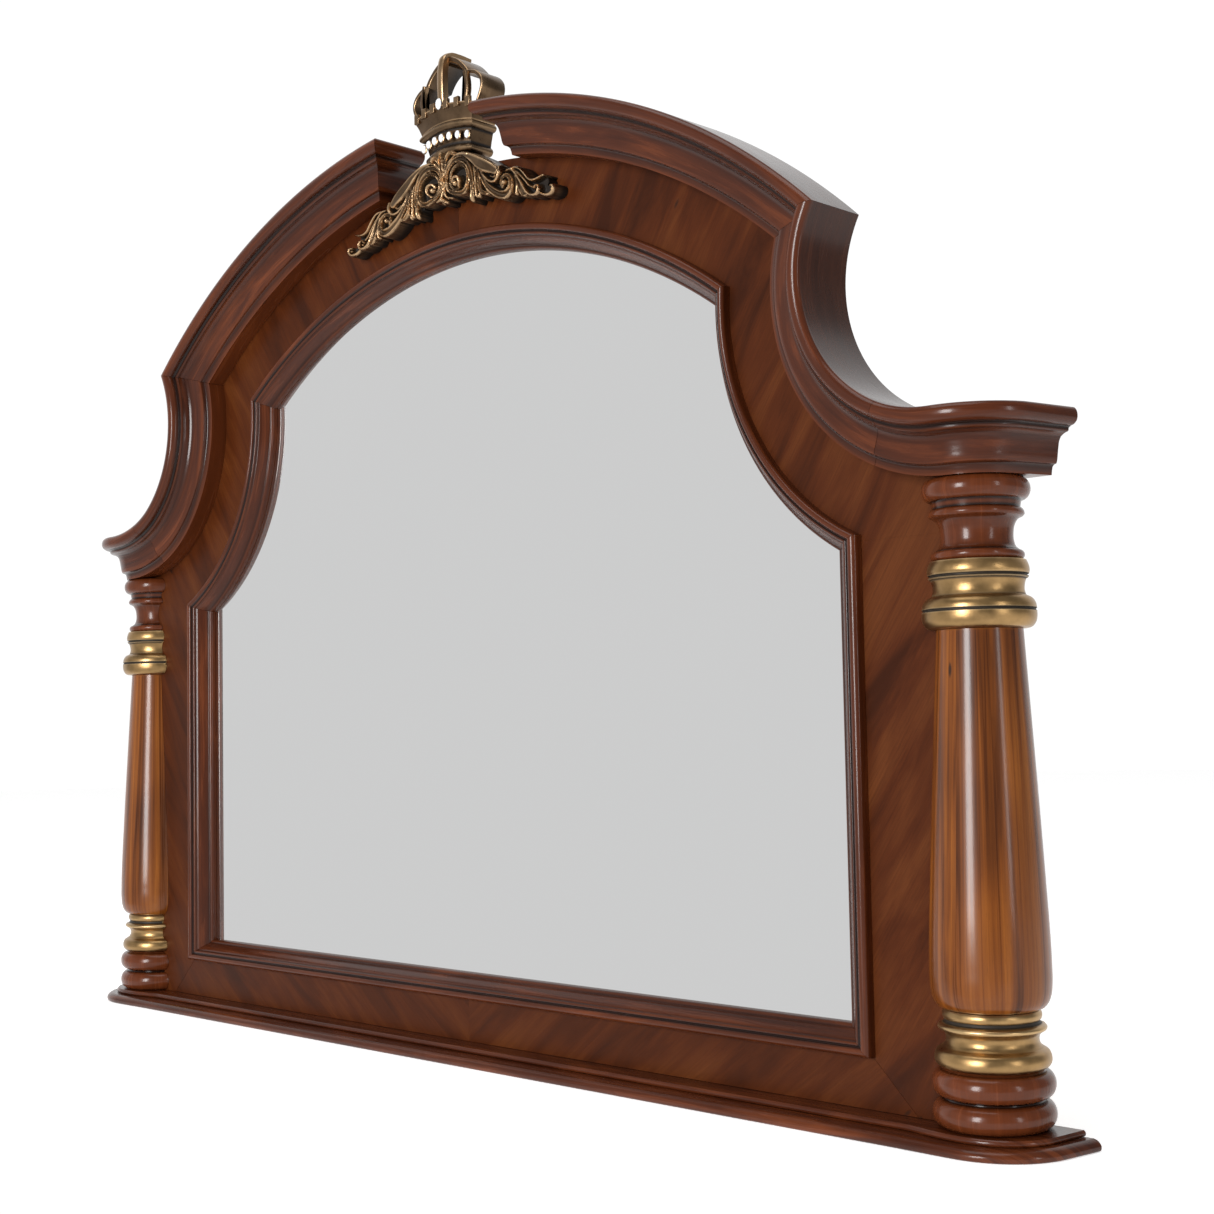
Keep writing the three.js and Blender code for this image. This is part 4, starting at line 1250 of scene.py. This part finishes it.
def crown_band():
    """The lower ring, the band of stones and the upper ring."""
    levels = runs(
        [(955.0, -12), (956.2, -9.4), (958.2, -7.6), (960.4, -7.0), (962.6, -7.8), (964.2, -9.6)],
        [(964.8, -10.4), (965.6, -10.6)],
        [(966.4, -10.3), (973.0, -8.8), (980.0, -7.0)],
        [(980.6, -6.8), (981.2, -5.0)],
        [(981.6, -4.0), (983.4, -1.9), (985.8, -1.0), (988.0, -2.0), (989.0, -3.4)],
        step=0.7,
    )
    settings = [bezel(x, y, z, 7.0, 9.4) for x, y, z in gem_places()]
    return joined(crown_stack(levels), *settings)


def gem_places():
    """The centres of the seven stones in the band."""
    for x in (np.arange(7) - 3) * GEM_PITCH:
        yield x, GEM_Y - CROWN_BULGE * (1 - (x / GEM_ROW_HALF_WIDTH) ** 2), GEM_Z + crown_lift(x)


def bezel(x, y, z, width, height):
    """The raised rim that holds a stone."""
    around = np.linspace(0, 2 * math.pi, 8, endpoint=False)
    out = 0.7 * np.cos(around)
    rings = []
    for turn in np.linspace(0, 2 * math.pi, 28, endpoint=False):
        px = x + (width / 2 + out) * math.cos(turn)
        pz = z + (height / 2 + out) * math.sin(turn)
        rings.append(np.stack([px, y + 1.0 + 0.9 * np.sin(around), pz], axis=1))
    points = np.concatenate(rings)
    faces = skin(len(rings), len(around), wrap=True)
    # The whole bezel is lightened: rubbed metal and painted highlight.
    return Piece().add(points, faces, [[(0.0, 0.0)] * 4 for _ in faces], wear_and_highlight=np.full(len(points), 0.6))


def crown_wall(bottom, top, thickness):
    """A thin upstanding wall on the crown's plan, open inside. bottom and top are (height, growth)."""
    middle = mix(np.array(bottom), np.array(top), 0.5) - (0, 0.6)
    outer = [(z, grow) for z, grow in smooth([bottom, middle, top], 1.0)]
    levels = [*outer, *((z, grow - thickness) for z, grow in reversed(outer))]
    strips = np.array([crown_ring(z, grow) for z, grow in levels]).transpose(1, 0, 2)
    return loft(strips, [(grow, z) for z, grow in levels])


def tooth(x, width=7.3, grow=4.5):
    """A square tooth on the rim at a distance from the centre line."""
    share = 1 - (x / (CROWN_HALF_WIDTH + grow)) ** 2
    y = CROWN_FRONT - grow * CORNER_SHARE - CROWN_BULGE * share
    foot, top = CROWN_FLOOR - 5 + crown_lift(x), SHELL_FOOT + crown_lift(x)
    piece = block(x - width / 2, x + width / 2, y - 0.3, y + 4.2, foot, top, edge=0.7)
    # The whole tooth is lightened: rubbed metal and painted highlight.
    piece.wear_and_highlight = np.maximum(piece.wear_and_highlight, 0.35)
    return piece


def crown_rim():
    wall = crown_wall((989.3, -3.6), (CROWN_FLOOR, 3.6), 3.6)
    floor = crown_stack([(989.3, -6.0), (992.0, -5.6), (994.0, -5.6)])
    teeth = [tooth(side * x) for side in (-1, 1) for x in TEETH]
    side_teeth = [
        block(side * 46.2 - 2.2, side * 46.2 + 2.2, y - 4, y + 4, 1001, 1012, edge=0.7)
        for side in (-1, 1) for y in (-6, 10)
    ]
    return joined(wall, floor, *teeth, *side_teeth)


DOME_OUTSIDE = smooth([
    (49.5, 1008), (54.4, 1016), (57.3, 1024), (56.6, 1031), (52.6, 1037), (46.6, 1041.6), (39, 1044.6),
], 1.2)
DOME_TOP = smooth([(34.6, 1045), (32, 1049), (27, 1054.4), (20.6, 1060), (13, 1064.6), (4, 1068.4)], 1.2)
DOME_UNDER = smooth([(4, 1061.4), (12.4, 1058), (19.4, 1053.8), (25.6, 1047.6), (29.6, 1041.6)], 1.2)
DOME_INSIDE = smooth([
    (36, 1041), (43.4, 1038.4), (49.6, 1034), (52.8, 1028.6), (53.2, 1023.4), (50.6, 1016.4), (46, 1008),
], 1.2)
DOME_BAR = np.array([(29.4, 1003), (33.6, 1012), (36.2, 1024), (35.2, 1035), (32.6, 1043.6)])
STRAP_FRONT = smooth([
    (-23, 1004), (-24.6, 1022), (-25, 1042), (-24, 1056), (-20.4, 1067.4), (-12, 1073), (2, 1074.4),
    (18, 1073.4),
], 2.0)


def hoop(path, half_width, y0, y1, edge=1.4):
    """A flat bar that follows an upright path, between two depths."""
    path = smooth(path, 1.2)
    across = left_of(directions(np.gradient(path, axis=0))) * half_width
    return board(np.concatenate([path + across, (path - across)[::-1]]), y0, y1, edge)


def nearest(points, curve):
    """The distance from each point to the nearest point of a curve."""
    return np.linalg.norm(points[:, None] - curve[None], axis=2).min(axis=1)


def crown_arms():
    """The open half dome: an outer and a top arm on each side, two front bars and a centre strap."""
    arms = []
    for side in (-1, 1):
        flip = np.array([side, 1])
        outside = np.concatenate([DOME_OUTSIDE, DOME_TOP]) * flip
        inside = np.concatenate([DOME_UNDER, DOME_INSIDE]) * flip
        arch = board(np.concatenate([outside, inside]), -15.0, CROWN_BACK + 1, edge=1.5)
        flat = arch.points[:, [X, Z]]
        # Painted shade on the side walls behind the front face, darker on the inner side, where edges are not
        # lightened.
        behind_edge = ease(arch.points[:, Y], -14.4, -12.0)
        arch.glaze_and_shade = np.where(nearest(flat, inside) < nearest(flat, outside), 0.75, 0.2) * behind_edge
        arch.wear_and_highlight = arch.wear_and_highlight * (1 - behind_edge)
        arms += [arch, hoop(DOME_BAR * flip, 2.7, -19.4, -12.6)]
    return joined(*arms, strap(STRAP_FRONT, 4.5))


def strap(profile, half_width):
    """The centre strap: a ridged bar swept along its front profile of (y, z) points."""
    inward = -left_of(directions(np.gradient(profile, axis=0)))
    section = np.array([
        (-1, 0.9), (-0.8, 0.25), (0, -0.35), (0.8, 0.25), (1, 0.9), (0.85, 9.0), (-0.85, 9.0),
    ])
    x, depth = section.T
    rings = [
        np.stack([x * half_width, y + depth * in_y, z + depth * in_z], axis=1)
        for (y, z), (in_y, in_z) in zip(profile, inward)
    ]
    piece = loft(rings, section * np.array([half_width, 1]))
    # The whole strap is lightened: rubbed metal and painted highlight.
    piece.wear_and_highlight = np.maximum(piece.wear_and_highlight, 0.45)
    return piece


def stone(x, y, z, width, height, depth):
    """A cut oval stone: a flat table, two rows of slanting facets and a girdle."""
    count = 12
    rows = [(0.45, -1.0, 0.0), (0.80, -0.62, 0.5), (1.0, 0.0, 0.0), (0.7, 0.8, 0.5)]
    points = []
    for size, forward, shift in rows:
        turns = (np.arange(count) + shift) * 2 * math.pi / count
        across, up = size * width / 2 * np.cos(turns), size * height / 2 * np.sin(turns)
        points.append(np.stack([x + across, np.full(count, y + forward * depth), z + up], axis=1))
    faces = end_caps(len(rows), count)
    for a, c, d, b in skin(len(rows), count):
        faces += [(a, c, b), (b, c, d)] if a // count % 2 == 0 else [(a, c, d), (a, d, b)]
    grain = [[(0.0, 0.0)] * len(face) for face in faces]
    return Piece().add(np.concatenate(points), faces, grain, flat=[True] * len(faces))


# ---- Assembly ----


def build_frame():
    place("plinth_base_look", plinth_base(), "mahogany", "plinth_base")
    place("plinth_step_look", plinth_step(), "mahogany", "plinth_step")
    place("panel_rail_look", panel_rail(), "veneer", "panel_bottom_rail")
    place_pair("panel_stile", panel_stile(), "veneer")
    place_pair("panel_head", panel_head(), "veneer")
    for build in (cornice_arch, cornice_return, cornice_shoulder, capital):
        place_pair(build.__name__, build(), "mahogany")


def build_columns():
    for name, profile, slot in (
        ("column_foot", COLUMN_FOOT, "mahogany"), ("lower_collar", LOWER_COLLAR, "brass"),
        ("column_shaft", SHAFT, "shaft_wood"), ("upper_collar", UPPER_COLLAR, "brass"),
        ("column_neck", NECK, "mahogany"),
    ):
        turning(name, profile, slot)
    for side in ("right", "left"):
        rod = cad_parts[f"tie_rod_{side}"]
        rod.data.materials.clear()
        rod.data.materials.append(MATERIALS["steel"])


def plate(node, lap):
    """A plate that fills the opening, between the depths of its CAD node."""
    return board(fill_outline(lap), low(node, Y), high(node, Y), edge=0.4)


def build_sight():
    place("sight_bottom_look", sight_bottom(), "mahogany", "sight_bottom")
    place_pair("sight_side", sight_side(), "mahogany")
    place_pair("sight_concave", sight_concave(), "mahogany")
    place("sight_arch_look", sight_arch(), "mahogany", "sight_arch")
    place("mirror_glass_look", plate("mirror_glass", GLASS_LAP), "silvered", "mirror_glass")


def cad_block(node):
    """A board with softened edges in the place of a box-shaped CAD node."""
    return block(*(edge(node, axis) for axis in (X, Y, Z) for edge in (low, high)))


def build_back():
    place("backing_board_look", plate("backing_board", BOARD_LAP), "carcass_wood", "backing_board")
    place_pair("rear_stile", cad_block("rear_stile_right"), "carcass_wood")
    place("rear_rail_look", cad_block("rear_bottom_rail"), "carcass_wood", "rear_bottom_rail")
    place("crest_block_look", cad_block("crest_block"), "carcass_wood", "crest_block")


def build_crest():
    scroll = relief(SCROLL_STROKES, SCROLL_BACKING, (0.15, 172), (874, 957), RECESS_Y, -GAP)
    place_pair("crest_scroll", scroll, "bronze", sharp=60)
    leaf = relief(centre_leaf_strokes(), CENTRE_BACKING, (-21, 21), (904, 963), -15.0, -14.0)
    place("crest_leaf_look", leaf, "bronze", "crest_leaf", sharp=60)
    for build in (crown_band, crown_rim, crown_arms):
        place(f"{build.__name__}_look", build(), "bronze", build.__name__)
    front_stone = stone(0, -26.5, 1013.6, 8.6, 12.6, 2.4)
    place("crown_gem_front_look", front_stone, "crystal", "crown_gem_front", sharp=1)
    for number, (x, y, z) in enumerate(gem_places(), 1):
        label = f"crown_gem_{number}"
        place(f"{label}_look", stone(x, y - 0.3, z, 6.8, 9.0, 1.9), "crystal", label, sharp=1)


# ---- Camera, floor and light ----

CAMERA_AT = (1423.1, -1250.6, 350.6)
CAMERA_TURN = math.radians(44.065)
CAMERA_PITCH = math.radians(3.607)
CAMERA_ROLL = math.radians(-1.049)
CAMERA_LENS = 52.606


def set_camera():
    data = bpy.data.cameras.new("camera")
    data.lens = CAMERA_LENS
    data.sensor_width = 36.0
    data.clip_start = 0.05
    data.clip_end = 100.0
    camera = bpy.data.objects.new("camera", data)
    a, e = CAMERA_TURN, CAMERA_PITCH
    ahead = Vector((-math.sin(a) * math.cos(e), math.cos(a) * math.cos(e), math.sin(e)))
    right = Vector((math.cos(a), math.sin(a), 0))
    up = right.cross(ahead)
    cos, sin = math.cos(CAMERA_ROLL), math.sin(CAMERA_ROLL)
    turned_right = cos * right + sin * up
    turned_up = cos * up - sin * right
    axes = Matrix((turned_right, turned_up, -ahead)).transposed()
    camera.matrix_world = Matrix.Translation(Vector(CAMERA_AT) * MM) @ axes.to_4x4()
    bpy.context.scene.collection.objects.link(camera)
    bpy.context.scene.camera = camera


def softbox(name, at, aim, width, height, power):
    """A rectangular soft light, in metres, turned towards a point and kept out of the glass."""
    data = bpy.data.lights.new(name, "AREA")
    data.shape = "RECTANGLE"
    data.size = width
    data.size_y = height
    data.energy = power
    light = bpy.data.objects.new(name, data)
    light.location = at
    light.rotation_euler = (Vector(aim) - Vector(at)).to_track_quat("-Z", "Y").to_euler()
    bpy.context.scene.collection.objects.link(light)
    unlit = bpy.data.collections.new(f"{name}_not_on_glass")
    unlit.objects.link(bpy.data.objects["mirror_glass_look"])
    unlit.collection_objects[0].light_linking.link_state = "EXCLUDE"
    light.light_linking.receiver_collection = unlit


FLOOR_FRONT = (-0.37, -0.27)
FLOOR_RADIUS = 9.0
FLOOR_Z = -0.0002


def set_floor():
    """A wide pale floor that fades into the room ahead of the mirror."""
    n = material("floor")
    cloud = n.noise(n.place_in_object(), scale=3.0)
    n.set(Base_Color=n.ramp(cloud, (0.0, (0.90, 0.90, 0.90)), (1.0, (0.92, 0.92, 0.92))), Roughness=0.9)
    n.set(Emission_Color=(1.0, 1.0, 1.0, 1.0), Emission_Strength=0.5, Specular_IOR_Level=0.0)
    split = n.node("ShaderNodeSeparateXYZ")
    n.put(split.inputs[0], n.place_in_object())
    n.set(Alpha=n.range(split.outputs["Y"], *FLOOR_FRONT))
    mesh = bpy.data.meshes.new("floor")
    turns = np.linspace(0, 2 * math.pi, 64, endpoint=False)
    rim = [(FLOOR_RADIUS * math.cos(t), FLOOR_RADIUS * math.sin(t), FLOOR_Z) for t in turns]
    mesh.from_pydata(rim, [], [tuple(range(64))])
    mesh.materials.append(n.owner)
    floor = bpy.data.objects.new("floor", mesh)
    bpy.context.scene.collection.objects.link(floor)


# The room's brightness by direction, and where one tone fades into the next.
WHITE_WALL = 1.04
DIM_WALL = 0.30
GREY_WALL = 0.64
PALE_GROUND = 0.9
GLASS_SEES = (-0.724, -0.687, 0.06)
BEHIND = (-0.69, 0.72, 0.0)
GROUND_FADE = (-0.16, -0.03)
GREY_FADE = (math.cos(math.radians(38)), math.cos(math.radians(23)))
WHITE_FADE = (0.27, 0.42)


def set_world():
    """White behind the mirror, and a darker room in front of it for the glass and lacquer to reflect."""
    world = bpy.data.worlds.new("studio")
    n = Nodes(world)
    where = n.node("ShaderNodeTexCoord").outputs["Generated"]
    split = n.node("ShaderNodeSeparateXYZ")
    n.put(split.inputs[0], where)

    def fade(value, start, end, first, last):
        return n.range(value, start, end, first, last, interpolation_type="SMOOTHSTEP")

    def toward(direction):
        made = n.node("ShaderNodeVectorMath", operation="DOT_PRODUCT")
        made.inputs[1].default_value = direction
        n.put(made.inputs[0], where)
        return made.outputs["Value"]

    room = fade(split.outputs["Z"], *GROUND_FADE, PALE_GROUND, DIM_WALL)
    room = fade(toward(GLASS_SEES), *GREY_FADE, room, GREY_WALL)
    n.set(Strength=fade(toward(BEHIND), *WHITE_FADE, room, WHITE_WALL), Color=(1, 1, 1, 1))
    bpy.context.scene.world = world


def set_light():
    set_world()
    softbox("key", at=(0.45, -4.7, 1.15), aim=(0.2, 0, 0.5), width=1.15, height=2.4, power=225)
    softbox("side", at=(4.6, -0.75, 1.2), aim=(0.3, 0, 0.5), width=0.45, height=2.2, power=28)
    softbox("top", at=(0.2, -0.9, 3.6), aim=(0, 0, 0.5), width=2.4, height=1.6, power=30)
    bpy.context.scene.view_settings.view_transform = "Standard"


set_camera()
set_floor()
build_frame()
build_columns()
build_sight()
build_back()
build_crest()
set_light()
bpy.context.view_layer.update()
